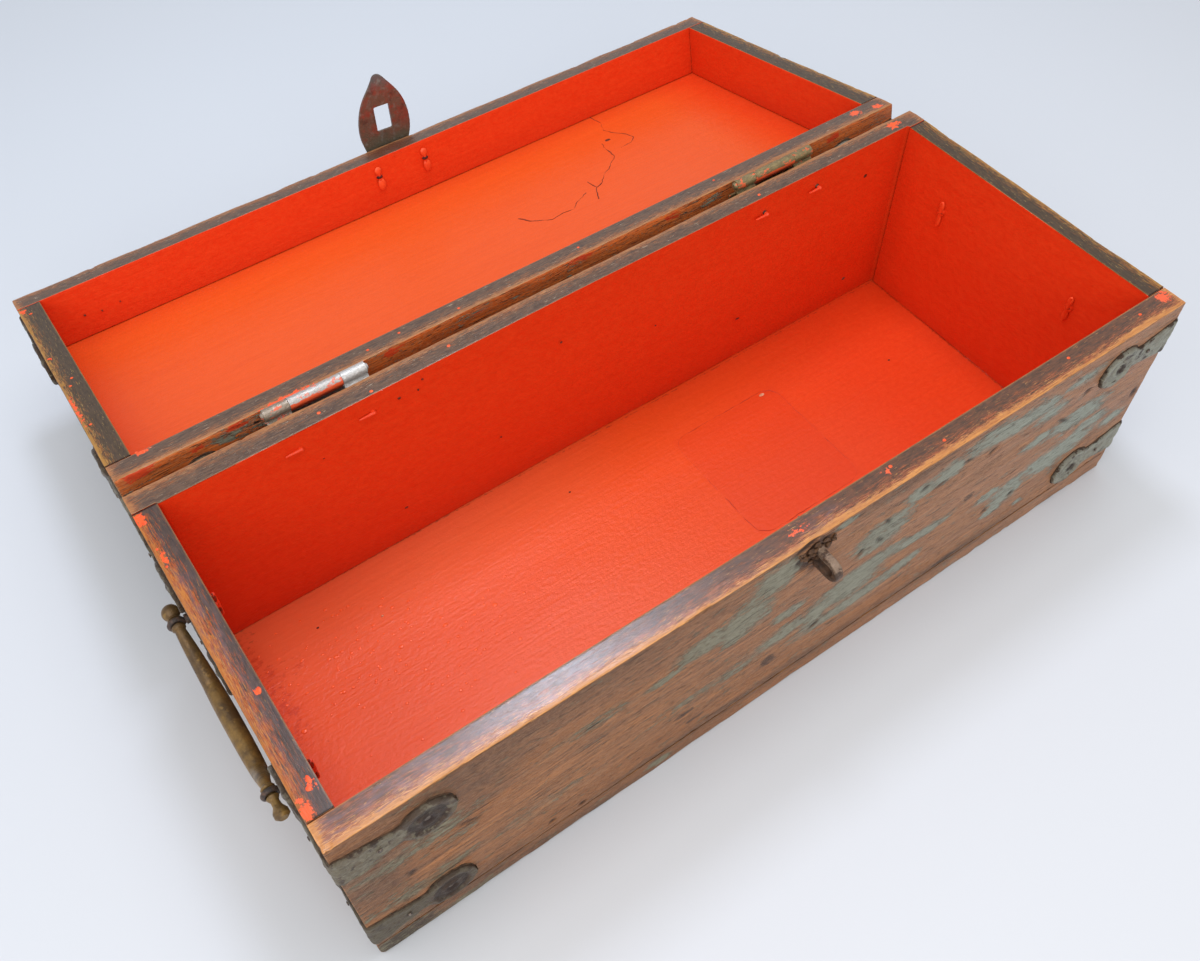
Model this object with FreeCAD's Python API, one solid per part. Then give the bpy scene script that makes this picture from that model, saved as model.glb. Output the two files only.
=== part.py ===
import FreeCAD, Part
import math
import os

# A carpenter's tool chest: a long wooden box with a shallow box lid on two strap-iron hinges,
# forged corner straps, a leaf-shaped hasp over a staple, and a cast drop handle on each end.
# Millimetres, +Z up, origin at the centre of the underside. The lid stands open, past flat.

os.makedirs("parts", exist_ok=True)
V = FreeCAD.Vector
X, Y, Z = V(1, 0, 0), V(0, 1, 0), V(0, 0, 1)

# ---- driving dimensions ----
CHEST_LENGTH = 600.0
BASE_WIDTH = 244.0
BASE_HEIGHT = 168.0
END_BOARD = 15.0
FRONT_BOARD = 17.0
BACK_BOARD = 15.0
BOTTOM_BOARD = 18.0
LID_WIDTH = 242.0
LID_HEIGHT = 57.0
LID_BOARD = 16.0
RIM_GAP = 0.4
ARRIS = 0.8

PIN_OUT = 8.5
PIN_DROP = 1.2
LID_OPEN = 191.25

STRAP_THICK = 1.8
STRAP_CORNER_HALF = 15.0
STRAP_NECK_HALF = 9.0
STRAP_SHOULDER = 30.0
STRAP_LEAF_R = 16.5
STRAP_NAIL_AT = 49.5
STRAP_BRAD_AT = 23.0
STRAP_NAIL_LENGTH = 13.0
STRAP_BRAD_LENGTH = 10.0
SINK_R, SINK_MOUTH_R = 2.4, 4.0
CAP_R, CAP_CENTRE = 6.0, 2.6
STRAP_UPPER_Z = 139.5
STRAP_LOWER_Z = 38.5
LID_STRAP_UP = 27.0

HINGE_AT = 177.0
HINGE_LENGTH = 67.0
HINGE_MIDDLE = 34.4
LEAF_THICK = 2.0
LEAF_NEAR, LEAF_FAR = 9.0, 27.0
STRIP_HALF, STRIP_START = 0.9, 1.2
BARREL_R = 3.75
KNUCKLE_GAP = 0.25
HINGE_PIN_R = 1.9
PIN_HEAD_R, PIN_HEAD_TIP_R, PIN_HEAD = 2.7, 1.6, 1.6
HINGE_NAIL_AT = 24.0
HINGE_NAIL_DROP = 14.0

HANDLE_Z = 122.0
HANDLE_Y = 1.0
HANDLE_OUT = 7.5
EYE_SPAN = 120.0
HANDLE_DROP = 27.0
NECK_START, NECK_END, NECK_R = 28.0, 57.0, 2.75
GRIP_R = 5.4
SPINDLE_R = 2.4

HASP_X = -1.2
HASP_OUT = 6.5
HASP_UP = 14.0
HASP_LEAF = 66.0
HASP_HALF_WIDTH = 21.4
HASP_THICK = 2.0
HASP_LEAN = 3.0
HASP_CROOK = 6.0
HASP_CURL_AT, HASP_CURL_R = 53.0, 26.0
SLOT_WIDTH, SLOT_HEIGHT = 13.0, 20.0
SLOT_AT, SLOT_ASIDE, SLOT_TURN = 33.2, 2.9, 3.0
HASP_KNUCKLE = 35.0
HASP_KNUCKLE_R = 3.6
HASP_PIN_R = 1.9
HASP_EYE_SPAN = 40.6

STAPLE_X = -1.5
STAPLE_Z = 147.9
STAPLE_OUT = 18.0
STAPLE_WIDTH = 5.2
STAPLE_HALF = 7.6
STAPLE_BAR = 4.4
STAPLE_FOOT = 1.6
STAPLE_LEG_R = 2.0
STAPLE_TIP = 9.5
STAPLE_ROUNDING = 1.1

NAIL_R = 1.5
BRAD_R = 0.9
HEAD_R, HEAD_THICK = 3.5, 1.5
CLINCH_R, CLINCH_LENGTH = 1.25, 10.0
FLUSH_HEAD_R, FLUSH_HEAD_THICK, FLUSH_SINK = 2.9, 1.2, 0.3
WALL_NAIL, BOTTOM_NAIL, TOP_NAIL = 38.0, 40.0, 36.0
WALL_NAIL_HEIGHTS, LID_NAIL_HEIGHTS = (60.0, 100.0, 160.0), (6.0, 36.0)
PANEL_NAIL_INSET, PANEL_NAIL_END = 8.0, 32.0
HANDLE_WIRE_R, HASP_WIRE_R = 1.5, 1.3
HANDLE_ARMS, HASP_ARMS = (9.0, 12.0), (11.0, 6.0)
SPLIT_SLIT = 0.5
HOLE_GAP = 0.05
RUNNING_GAP, SPINDLE_GAP = 0.06, 0.08

# ---- places worked out from them ----
HALF_L = CHEST_LENGTH / 2
HALF_W = BASE_WIDTH / 2
LID_FRONT = HALF_W - LID_WIDTH
LID_RIM = BASE_HEIGHT + RIM_GAP
LID_TOP = LID_RIM + LID_HEIGHT
PIN = V(0, HALF_W + PIN_OUT, BASE_HEIGHT - PIN_DROP)
HASP_PIVOT = V(HASP_X, LID_FRONT - HASP_OUT, LID_RIM + HASP_UP)


# ---- small makers ----
def box(x0, x1, y0, y1, z0, z1):
    return Part.makeBox(x1 - x0, y1 - y0, z1 - z0, V(x0, y0, z0))


def rod(start, end, radius):
    return Part.makeCylinder(radius, (end - start).Length, start, end - start)


def join(shapes):
    whole = shapes[0].multiFuse(shapes[1:]) if len(shapes) > 1 else shapes[0]
    return whole.removeSplitter()


def prism(points, direction):
    """A flat outline of straight sides, pushed along a direction."""
    return Part.Face(Part.makePolygon(points + [points[0]])).extrude(direction)


def open_lid(shape):
    """Swings a piece made for the closed lid to where the open lid holds it."""
    turned = shape.copy()
    turned.rotate(PIN, X, -LID_OPEN)
    return turned


def board(x0, x1, y0, y1, z0, z1, holes):
    """A plank with its arrises just eased, bored for the fasteners that cross it."""
    plank = box(x0, x1, y0, y1, z0, z1)
    plank = plank.makeFillet(ARRIS, plank.Edges)
    crossing = [h for h in holes if h.BoundBox.intersect(plank.BoundBox)]
    return plank.cut(crossing) if crossing else plank


def save(name, shapes):
    whole = shapes[0] if len(shapes) == 1 else Part.makeCompound(shapes)
    whole.exportStep("parts/" + name + ".step")


# ---- nails: a head, a shank, and for some a tip clinched over inside ----
def nail(face, inward, length, head_r, head_h, shank_r=NAIL_R):
    head = Part.makeCone(head_r, head_r * 0.72, head_h, face, -inward)
    return join([head, rod(face, face + inward * length, shank_r)])


def nail_hole(face, inward, length, shank_r=NAIL_R):
    return rod(face - inward, face + inward * (length + 0.2), shank_r + HOLE_GAP)


def clinched_nail(face, inward, leaf, wall, along):
    """A nail through a leaf and a board, its tip bent flat on the inside."""
    head = Part.makeCone(HEAD_R, HEAD_R - 1.0, HEAD_THICK, face, -inward)
    inner = face + inward * (leaf + wall)
    elbow = inner + inward * CLINCH_R
    shank = rod(face, elbow, NAIL_R)
    tip = Part.makeCone(CLINCH_R, CLINCH_R / 2, CLINCH_LENGTH, elbow, along)
    return join([head, shank, Part.makeSphere(NAIL_R, elbow), tip])


def flush_nail(face, inward, length):
    """A board nail driven until its head lies just under the surface."""
    top = face + inward * FLUSH_SINK
    head = rod(top, top + inward * FLUSH_HEAD_THICK, FLUSH_HEAD_R)
    return join([head, rod(top, top + inward * length, NAIL_R)])


def flush_nail_hole(face, inward, length):
    return join([
        rod(face - inward, face + inward * (FLUSH_SINK + FLUSH_HEAD_THICK), FLUSH_HEAD_R + HOLE_GAP),
        rod(face - inward, face + inward * (length + 0.5), NAIL_R + HOLE_GAP),
    ])


# ---- corner straps: two legs round the corner, each ending in a round leaf with its nail ----
def strap_outline():
    half, neck, near, far = STRAP_CORNER_HALF, STRAP_NECK_HALF, STRAP_SHOULDER, STRAP_SHOULDER + 10
    taper = prism([V(0, 0, -half), V(0, 0, half), V(near, 0, neck), V(far, 0, neck),
                   V(far, 0, -neck), V(near, 0, -neck)], V(0, -STRAP_THICK, 0))
    leaf = rod(V(STRAP_NAIL_AT, 0, 0), V(STRAP_NAIL_AT, -STRAP_THICK, 0), STRAP_LEAF_R)
    return join([taper, leaf])


def strap_leg():
    sink = Part.makeCone(SINK_R, SINK_MOUTH_R, STRAP_THICK, V(STRAP_NAIL_AT, 0, 0), -Y)
    brad = rod(V(STRAP_BRAD_AT, 1, 0), V(STRAP_BRAD_AT, -3, 0), BRAD_R + HOLE_GAP)
    return strap_outline().cut([sink, brad])


def over_diagonal(shape):
    return shape.mirror(V(0, 0, 0), V(1, -1, 0))


def strap():
    """The front-left strap, its inner corner at the origin."""
    bend = Part.makeCylinder(STRAP_THICK, 2 * STRAP_CORNER_HALF,
                             V(0, 0, -STRAP_CORNER_HALF), Z, 90)
    bend.rotate(V(0, 0, 0), Z, 180)
    leg = strap_leg()
    return join([leg, over_diagonal(leg), bend])


def strap_nails():
    """One nail and one brad in each leg: sunk on the long face, proud on the end face."""
    seat = V(STRAP_NAIL_AT, 0, 0)
    sunk = nail(seat, Y, STRAP_NAIL_LENGTH, SINK_R - 0.05, 1.2)
    shank = rod(seat, seat + Y * (STRAP_NAIL_LENGTH - 1), NAIL_R)
    outside = box(STRAP_NAIL_AT - CAP_R, STRAP_NAIL_AT + CAP_R, -CAP_R, -STRAP_THICK, -CAP_R, CAP_R)
    cap = Part.makeSphere(CAP_R, seat + Y * CAP_CENTRE).common(outside)
    throat = rod(seat, seat - Y * STRAP_THICK, SINK_R - 0.2)
    proud = join([cap, throat, shank])
    brad_top = V(STRAP_BRAD_AT, -STRAP_THICK, 0)
    brad = join([
        rod(V(STRAP_BRAD_AT, STRAP_BRAD_LENGTH, 0), brad_top, BRAD_R),
        Part.makeCone(1.7, 1.1, 0.6, brad_top, -Y),
    ])
    return [sunk, brad, over_diagonal(proud), over_diagonal(brad)]


def strap_nail_holes():
    legs = [nail_hole(V(STRAP_NAIL_AT, 0, 0), Y, STRAP_NAIL_LENGTH),
            nail_hole(V(STRAP_BRAD_AT, 0, 0), Y, STRAP_BRAD_LENGTH, BRAD_R)]
    return legs + [over_diagonal(hole) for hole in legs]


def at_corner(shape, side_x, side_y, corner):
    """Moves a front-left piece to another corner, mirrored to suit."""
    placed = shape.copy()
    if side_x > 0:
        placed = placed.mirror(V(0, 0, 0), X)
    if side_y > 0:
        placed = placed.mirror(V(0, 0, 0), Y)
    placed.translate(corner)
    return placed


CORNERS = [("front_left", -1, -1), ("front_right", 1, -1), ("rear_left", -1, 1), ("rear_right", 1, 1)]


def base_corner(side_x, side_y, z):
    return V(side_x * HALF_L, side_y * HALF_W, z)


def lid_corner(side_x, side_y):
    return V(side_x * HALF_L, HALF_W if side_y > 0 else LID_FRONT, LID_RIM + LID_STRAP_UP)


def make_straps():
    one, nails, holes = strap(), strap_nails(), strap_nail_holes()
    base_nails, base_holes, lid_nails, lid_holes = [], [], [], []
    for name, sx, sy in CORNERS:
        for level, z in (("upper", STRAP_UPPER_Z), ("lower", STRAP_LOWER_Z)):
            corner = base_corner(sx, sy, z)
            save(name + "_" + level + "_strap", [at_corner(one, sx, sy, corner)])
            base_nails += [at_corner(n, sx, sy, corner) for n in nails]
            base_holes += [at_corner(h, sx, sy, corner) for h in holes]
        corner = lid_corner(sx, sy)
        save("lid_" + name + "_strap", [open_lid(at_corner(one, sx, sy, corner))])
        lid_nails += [at_corner(n, sx, sy, corner) for n in nails]
        lid_holes += [at_corner(h, sx, sy, corner) for h in holes]
    save("base_strap_nails", base_nails)
    save("lid_strap_nails", [open_lid(n) for n in lid_nails])
    return base_holes, lid_holes


# ---- hinges: each leaf is nailed flat to the wood, then cranked out and rolled round the pin ----
def leaf_strip(x0, x1, rim_z, up):
    """The cranked strip from the flat leaf to the far side of the barrel."""
    start = V(0, HALF_W + LEAF_THICK / 2, rim_z + up * (LEAF_NEAR + STRIP_START))
    to_pin = V(0, PIN.y - start.y, PIN.z - start.z)
    reach = BARREL_R - STRIP_HALF
    lean = math.asin(reach / to_pin.Length)
    run = math.sqrt(to_pin.Length ** 2 - reach ** 2)
    angle = math.atan2(to_pin.z, to_pin.y) + up * lean
    along = V(0, math.cos(angle), math.sin(angle))
    side = V(0, -math.sin(angle), math.cos(angle)) * STRIP_HALF
    end = start + along * run
    corners = [start + side, end + side, end - side, start - side]
    return prism([V(x0, c.y, c.z) for c in corners], V(x1 - x0, 0, 0))


def hinge_leaf(xc, rim_z, up, spans):
    low, high = sorted((rim_z + up * LEAF_NEAR, rim_z + up * LEAF_FAR))
    half = HINGE_LENGTH / 2
    pieces = [box(xc - half, xc + half, HALF_W, HALF_W + LEAF_THICK, low, high)]
    for x0, x1 in spans:
        pieces.append(leaf_strip(x0, x1, rim_z, up))
        pieces.append(rod(V(x0, PIN.y, PIN.z), V(x1, PIN.y, PIN.z), BARREL_R))
    bore = rod(V(xc - HINGE_LENGTH, PIN.y, PIN.z), V(xc + HINGE_LENGTH, PIN.y, PIN.z),
               HINGE_PIN_R + RUNNING_GAP)
    holes = [rod(V(x, HALF_W - 1, z), V(x, HALF_W + 4, z), NAIL_R + HOLE_GAP)
             for x, z in hinge_nail_places(xc, rim_z, up)]
    return join(pieces).cut([bore] + holes)


def hinge_nail_places(xc, rim_z, up):
    return [(xc + s * HINGE_NAIL_AT, rim_z + up * HINGE_NAIL_DROP) for s in (-1, 1)]


def hinge_nails(xc, rim_z, up, wall):
    return [clinched_nail(V(x, HALF_W + LEAF_THICK, z), -Y, LEAF_THICK, wall, -X)
            for x, z in hinge_nail_places(xc, rim_z, up)]


def hinge_nail_holes(xc, rim_z, up, wall):
    return [rod(V(x, HALF_W + 1, z), V(x, HALF_W - wall - 1, z), NAIL_R + HOLE_GAP)
            for x, z in hinge_nail_places(xc, rim_z, up)]


def make_hinges():
    half, mid = HINGE_LENGTH / 2, HINGE_MIDDLE / 2
    base_nails, base_holes, lid_nails, lid_holes = [], [], [], []
    for name, xc in (("left", -HINGE_AT), ("right", HINGE_AT)):
        outer = [(xc - half, xc - mid - KNUCKLE_GAP), (xc + mid + KNUCKLE_GAP, xc + half)]
        base_leaf = hinge_leaf(xc, BASE_HEIGHT, -1, outer)
        lid_leaf = hinge_leaf(xc, LID_RIM, 1, [(xc - mid, xc + mid)])
        save(name + "_hinge_base_leaf", [base_leaf])
        save(name + "_hinge_lid_leaf", [open_lid(lid_leaf)])
        shank = rod(V(xc - half, PIN.y, PIN.z), V(xc + half, PIN.y, PIN.z), HINGE_PIN_R)
        heads = [Part.makeCone(PIN_HEAD_R, PIN_HEAD_TIP_R, PIN_HEAD, V(xc + s * half, PIN.y, PIN.z), X * s)
                 for s in (-1, 1)]
        save(name + "_hinge_pin", [join([shank] + heads)])
        base_nails += hinge_nails(xc, BASE_HEIGHT, -1, BACK_BOARD)
        base_holes += hinge_nail_holes(xc, BASE_HEIGHT, -1, BACK_BOARD)
        lid_nails += hinge_nails(xc, LID_RIM, 1, LID_BOARD)
        lid_holes += hinge_nail_holes(xc, LID_RIM, 1, LID_BOARD)
    save("base_hinge_nails", base_nails)
    save("lid_hinge_nails", [open_lid(n) for n in lid_nails])
    return base_holes, lid_holes


# ---- split pins: an eye outside, a doubled wire through the wall, its ends opened up and down ----
def split_pin(eye, inward, out, wall, hole_r, wire_r, arm_lengths, axis=Y):
    """The two halves of the shank are half round, so together they fill a round hole."""
    bend = eye + inward * (out + wall + wire_r)
    ring = Part.makeTorus(hole_r + wire_r, wire_r, eye, axis)
    shank = rod(eye + inward * (hole_r + 1.7 * wire_r), bend, 2 * wire_r)
    arms = [Part.makeCone(wire_r, wire_r * 0.75, length, bend, way)
            for length, way in zip(arm_lengths, (Z, -Z))]
    centre = bend + inward * wire_r
    slit = Part.makeBox(8 * wire_r, 8 * wire_r, SPLIT_SLIT)
    slit.translate(centre - V(4 * wire_r, 4 * wire_r, SPLIT_SLIT / 2))
    return join([ring, shank] + arms).cut(slit)


def split_pin_hole(eye, inward, out, wall, wire_r):
    start = eye + inward * (out - 0.5)
    return rod(start, start + inward * (wall + 1.0), 2 * wire_r + HOLE_GAP)


# ---- drop handles: a swelling grip between two curved necks, turned ends outside the eyes ----
def handle_path(t):
    """Height of the bail's centre line below its spindles, at a distance t along the grip."""
    share = min(max((NECK_END - abs(t)) / (NECK_END - NECK_START), 0.0), 1.0)
    return -HANDLE_DROP * (1 - math.cos(math.pi * share)) / 2


def handle_radius(t):
    share = min(abs(t) / NECK_END, 1.0)
    return NECK_R + (GRIP_R - NECK_R) * (1 - share ** 2.6)


def bail():
    """The grip and both necks, lofted through round sections square to the centre line."""
    sections = []
    steps = 28
    for k in range(steps + 1):
        t = NECK_END * (2 * k / steps - 1)
        slope = (handle_path(t + 0.01) - handle_path(t - 0.01)) / 0.02
        circle = Part.makeCircle(handle_radius(t), V(0, t, handle_path(t)), V(0, 1, slope))
        sections.append(Part.Wire([circle]))
    return Part.makeLoft(sections, True, False)


def turned(profile, sign):
    """A turned end: (distance along the spindle, radius) points swept round the Y axis."""
    points = [V(r, sign * t, 0) for t, r in profile]
    outline = [V(0, sign * profile[0][0], 0)] + points + [V(0, sign * profile[-1][0], 0)]
    return Part.Face(Part.makePolygon(outline + [outline[0]])).revolve(V(0, 0, 0), Y, 360)


def handle():
    eye = EYE_SPAN / 2
    collar = [(eye - 5.0, 2.9), (eye - 3.6, 3.9), (eye - 2.4, 3.9), (eye - 1.8, 3.0)]
    pieces = [bail(), rod(V(0, -eye - 4, 0), V(0, -eye + 4, 0), SPINDLE_R),
              rod(V(0, eye - 4, 0), V(0, eye + 4, 0), SPINDLE_R), turned(collar, 1), turned(collar, -1)]
    waist = [(eye + 1.8, 3.0), (eye + 2.6, 4.2), (eye + 3.8, 3.4), (eye + 5.0, 3.2)]
    pieces += [turned(waist, 1), Part.makeSphere(5.1, V(0, eye + 8.6, 0))]
    flare = [(eye + 1.8, 3.0), (eye + 2.6, 3.6), (eye + 5.0, 2.3), (eye + 8.0, 2.5),
             (eye + 11.5, 4.2), (eye + 14.0, 4.2), (eye + 15.5, 2.6)]
    pieces.append(turned(flare, -1))
    return join(pieces)


def make_handles():
    """Returns the wall holes of the four split pins."""
    one, holes = handle(), []
    for name, side in (("left", -1), ("right", 1)):
        placed = one if side < 0 else one.mirror(V(0, 0, 0), X)
        placed = placed.copy()
        pivot = V(side * (HALF_L + HANDLE_OUT), HANDLE_Y, HANDLE_Z)
        placed.translate(pivot)
        save(name + "_handle", [placed])
        eyes = [pivot + Y * (s * EYE_SPAN / 2) for s in (-1, 1)]
        inward = X * -side
        save(name + "_handle_split_pins",
             [split_pin(e, inward, HANDLE_OUT, END_BOARD, SPINDLE_R + SPINDLE_GAP, HANDLE_WIRE_R,
                        HANDLE_ARMS) for e in eyes])
        holes += [split_pin_hole(e, inward, HANDLE_OUT, END_BOARD, HANDLE_WIRE_R) for e in eyes]
    return holes


# ---- hasp: a leaf-shaped plate rolled over at its foot, with a slot for the staple ----
def hasp_outline():
    """The leaf seen from the front: (distance from the pivot, share of the half width)."""
    side = [(2.5, 0.78), (8.0, 0.82), (18.0, 0.96), (28.0, 1.0), (40.0, 0.91),
            (50.0, 0.71), (58.0, 0.44), (HASP_LEAF - 3.0, 0.24)]
    right = [V(share * HASP_HALF_WIDTH, 0, -e) for e, share in side]
    left = [V(-point.x, 0, point.z) for point in reversed(right)]
    edges = []
    for points in (right, left):
        curve = Part.BSplineCurve()
        curve.interpolate(points)
        edges.append(curve.toShape())
    edges.append(Part.Arc(right[-1], V(0, 0, -HASP_LEAF), left[0]).toShape())
    edges.append(Part.makeLine(left[-1], right[0]))
    return Part.Face(Part.Wire(Part.__sortEdges__(edges)))


def hasp_sheet():
    """The curved sheet that the leaf is cut from: flat, then rolled outwards towards the point."""
    half, wide = HASP_THICK / 2, 30.0
    flat = box(-wide, wide, -half, half, -HASP_CURL_AT, 2.0)
    centre = V(-wide, -HASP_CURL_R, -HASP_CURL_AT)
    ring = rod(centre, centre + X * 2 * wide, HASP_CURL_R + half).cut(
        rod(centre, centre + X * 2 * wide, HASP_CURL_R - half))
    quarter = box(-wide, wide, -HASP_CURL_R, half, -HASP_CURL_AT - HASP_CURL_R - half, -HASP_CURL_AT)
    return join([flat, ring.common(quarter)])


def hasp_slot():
    wide, high = SLOT_WIDTH / 2, SLOT_HEIGHT / 2
    slot = box(-wide, wide, -5, 5, -high, high)
    slot = slot.makeFillet(1.2, [e for e in slot.Edges if abs(e.tangentAt(e.FirstParameter).y) > 0.9])
    slot.rotate(V(0, 0, 0), Y, -SLOT_TURN)
    slot.translate(V(SLOT_ASIDE, 0, -SLOT_AT))
    return slot


def hasp():
    """Hanging from the origin with its inner face towards +Y, a little crooked on its knuckle."""
    outline = hasp_outline()
    outline.translate(V(0, -40, 0))
    leaf = hasp_sheet().common(outline.extrude(V(0, 60, 0)))
    leaf.rotate(V(0, 0, 0), Y, -HASP_CROOK)
    leaf = leaf.cut(hasp_slot())
    roll = HASP_KNUCKLE / 2
    knuckle = rod(V(-roll, 0, 0), V(roll, 0, 0), HASP_KNUCKLE_R)
    bore = rod(V(-40, 0, 0), V(40, 0, 0), HASP_PIN_R + RUNNING_GAP)
    return join([leaf, knuckle]).cut(bore)


def make_hasp():
    leaf = hasp()
    leaf.rotate(V(0, 0, 0), X, HASP_LEAN)
    leaf.translate(HASP_PIVOT)
    save("hasp_leaf", [open_lid(leaf)])
    reach = HASP_EYE_SPAN / 2 + 3.2
    shank = rod(HASP_PIVOT - X * reach, HASP_PIVOT + X * reach, HASP_PIN_R)
    heads = [Part.makeCone(2.7, 1.8, 1.2, HASP_PIVOT + X * (s * reach), X * s) for s in (-1, 1)]
    save("hasp_pin", [open_lid(join([shank] + heads))])
    eyes = [HASP_PIVOT + X * (s * HASP_EYE_SPAN / 2) for s in (-1, 1)]
    pins = [split_pin(e, Y, HASP_OUT, LID_BOARD, HASP_PIN_R + RUNNING_GAP, HASP_WIRE_R,
                      HASP_ARMS, axis=X) for e in eyes]
    save("hasp_split_pins", [open_lid(p) for p in pins])
    return [split_pin_hole(e, Y, HASP_OUT, LID_BOARD, HASP_WIRE_R) for e in eyes]


# ---- staple: a flat bar bent to a loop, both legs driven through the front board and clinched ----
def staple_loop():
    """The bent bar seen along X, with a small foot where each leg enters the wood."""
    half, bar, reach = STAPLE_HALF, STAPLE_BAR, STAPLE_OUT - STAPLE_HALF
    x0 = STAPLE_X - STAPLE_WIDTH / 2
    centre = V(x0, -HALF_W - reach, STAPLE_Z)
    solids = []
    for r in (half, half - bar):
        straight = box(x0, x0 + STAPLE_WIDTH, centre.y, -HALF_W, STAPLE_Z - r, STAPLE_Z + r)
        solids.append(join([straight, rod(centre, centre + X * STAPLE_WIDTH, r)]))
    loop = solids[0].cut(solids[1])
    long_edges = [e for e in loop.Edges if e.BoundBox.XLength < 0.01 and e.BoundBox.YLength > 1.0]
    loop = loop.makeFillet(STAPLE_ROUNDING, long_edges)
    feet = []
    for s in (-1, 1):
        z = STAPLE_Z + s * half
        corners = [V(x0 + 0.4, -HALF_W, z - s * bar), V(x0 + 0.4, -HALF_W, z + s * STAPLE_FOOT),
                   V(x0 + 0.4, -HALF_W - STAPLE_FOOT, z - s * 0.3)]
        feet.append(prism(corners, X * (STAPLE_WIDTH - 0.8)))
    return join([loop] + feet)


def make_staple():
    """Returns the two holes that the legs pass through."""
    pieces, holes = [staple_loop()], []
    for s in (-1, 1):
        outer_end = V(STAPLE_X, -HALF_W - 1.0, STAPLE_Z + s * (STAPLE_HALF - STAPLE_BAR / 2))
        inner_end = outer_end + Y * (FRONT_BOARD + 1.0 + 1.6)
        pieces.append(rod(outer_end, inner_end, STAPLE_LEG_R))
        pieces.append(Part.makeCone(1.6, 0.9, STAPLE_TIP, inner_end, Z * s))
        pieces.append(Part.makeSphere(STAPLE_LEG_R, inner_end).common(
            box(-20, 20, inner_end.y - 1.5, inner_end.y + 9, inner_end.z - 9, inner_end.z + 9)))
        holes.append(rod(outer_end, inner_end, STAPLE_LEG_R + HOLE_GAP))
    save("front_staple", [join(pieces)])
    return holes


# ---- board nails ----
def wall_nail_places(front, rear, heights, inset):
    """Nails through the long boards into the ends of the end boards."""
    places = []
    for sx in (-1, 1):
        for z in heights:
            x = sx * (HALF_L - inset)
            places += [(V(x, front, z), Y), (V(x, rear, z), -Y)]
    return places


def panel_nail_places(face_z, up, front, rear):
    """Nails through the bottom or top board into the edges of the four walls."""
    places, inset = [], PANEL_NAIL_INSET
    for k in range(5):
        x = (k - 2) * (HALF_L - PANEL_NAIL_END) / 2
        places += [(V(x, front + inset, face_z), Z * up), (V(x, rear - inset, face_z), Z * up)]
    middle = (front + rear) / 2
    return places + [(V(s * (HALF_L - inset), middle, face_z), Z * up) for s in (-1, 1)]


def flush_nails(places, length):
    nails = [flush_nail(face, inward, length) for face, inward in places]
    return nails, [flush_nail_hole(face, inward, length) for face, inward in places]


# ---- build everything ----
base_holes, lid_holes = make_straps()
base_hinge_holes, lid_hinge_holes = make_hinges()
base_holes += base_hinge_holes + make_handles() + make_staple()
lid_holes += lid_hinge_holes + make_hasp()

base_wall_nails, holes = flush_nails(
    wall_nail_places(-HALF_W, HALF_W, WALL_NAIL_HEIGHTS, END_BOARD / 2), WALL_NAIL)
base_holes += holes
bottom_nails, holes = flush_nails(panel_nail_places(0.0, 1, -HALF_W, HALF_W), BOTTOM_NAIL)
base_holes += holes
lid_heights = [LID_RIM + height for height in LID_NAIL_HEIGHTS]
lid_wall_nails, holes = flush_nails(
    wall_nail_places(LID_FRONT, HALF_W, lid_heights, LID_BOARD / 2), WALL_NAIL)
lid_holes += holes
top_nails, holes = flush_nails(panel_nail_places(LID_TOP, -1, LID_FRONT, HALF_W), TOP_NAIL)
lid_holes += holes
save("base_wall_nails", base_wall_nails)
save("bottom_board_nails", bottom_nails)
save("lid_wall_nails", [open_lid(n) for n in lid_wall_nails])
save("lid_top_nails", [open_lid(n) for n in top_nails])

inner_front, inner_rear = -HALF_W + FRONT_BOARD, HALF_W - BACK_BOARD
save("bottom_board", [board(-HALF_L, HALF_L, -HALF_W, HALF_W, 0, BOTTOM_BOARD, base_holes)])
save("front_board", [board(-HALF_L, HALF_L, -HALF_W, inner_front, BOTTOM_BOARD, BASE_HEIGHT, base_holes)])
save("back_board", [board(-HALF_L, HALF_L, inner_rear, HALF_W, BOTTOM_BOARD, BASE_HEIGHT, base_holes)])
for name, x0 in (("left_end_board", -HALF_L), ("right_end_board", HALF_L - END_BOARD)):
    save(name, [board(x0, x0 + END_BOARD, inner_front, inner_rear, BOTTOM_BOARD, BASE_HEIGHT, base_holes)])

lid_inner_front, lid_inner_rear = LID_FRONT + LID_BOARD, HALF_W - LID_BOARD
lid_ceiling = LID_TOP - LID_BOARD
lid_boards = {
    "lid_top_board": (-HALF_L, HALF_L, LID_FRONT, HALF_W, lid_ceiling, LID_TOP),
    "lid_front_board": (-HALF_L, HALF_L, LID_FRONT, lid_inner_front, LID_RIM, lid_ceiling),
    "lid_back_board": (-HALF_L, HALF_L, lid_inner_rear, HALF_W, LID_RIM, lid_ceiling),
    "lid_left_board": (-HALF_L, -HALF_L + LID_BOARD, lid_inner_front, lid_inner_rear, LID_RIM, lid_ceiling),
    "lid_right_board": (HALF_L - LID_BOARD, HALF_L, lid_inner_front, lid_inner_rear, LID_RIM, lid_ceiling),
}
for name, sides in lid_boards.items():
    save(name, [open_lid(board(*sides, lid_holes))])
print("chest written:", len(os.listdir("parts")), "parts")
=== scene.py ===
# %% [markdown]
# # A carpenter's tool chest
# This lesson dresses a long wooden tool chest: hardwood boards under worn grey-green paint, a bright
# orange enamel inside, forged iron straps, two strap hinges, a leaf-shaped hasp and cast drop handles.
# The solid model gives every piece its place. Each cell makes one piece or one finish of the real chest.

import bpy
import math
import numpy as np
import random
from mathutils import Matrix, Vector


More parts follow.
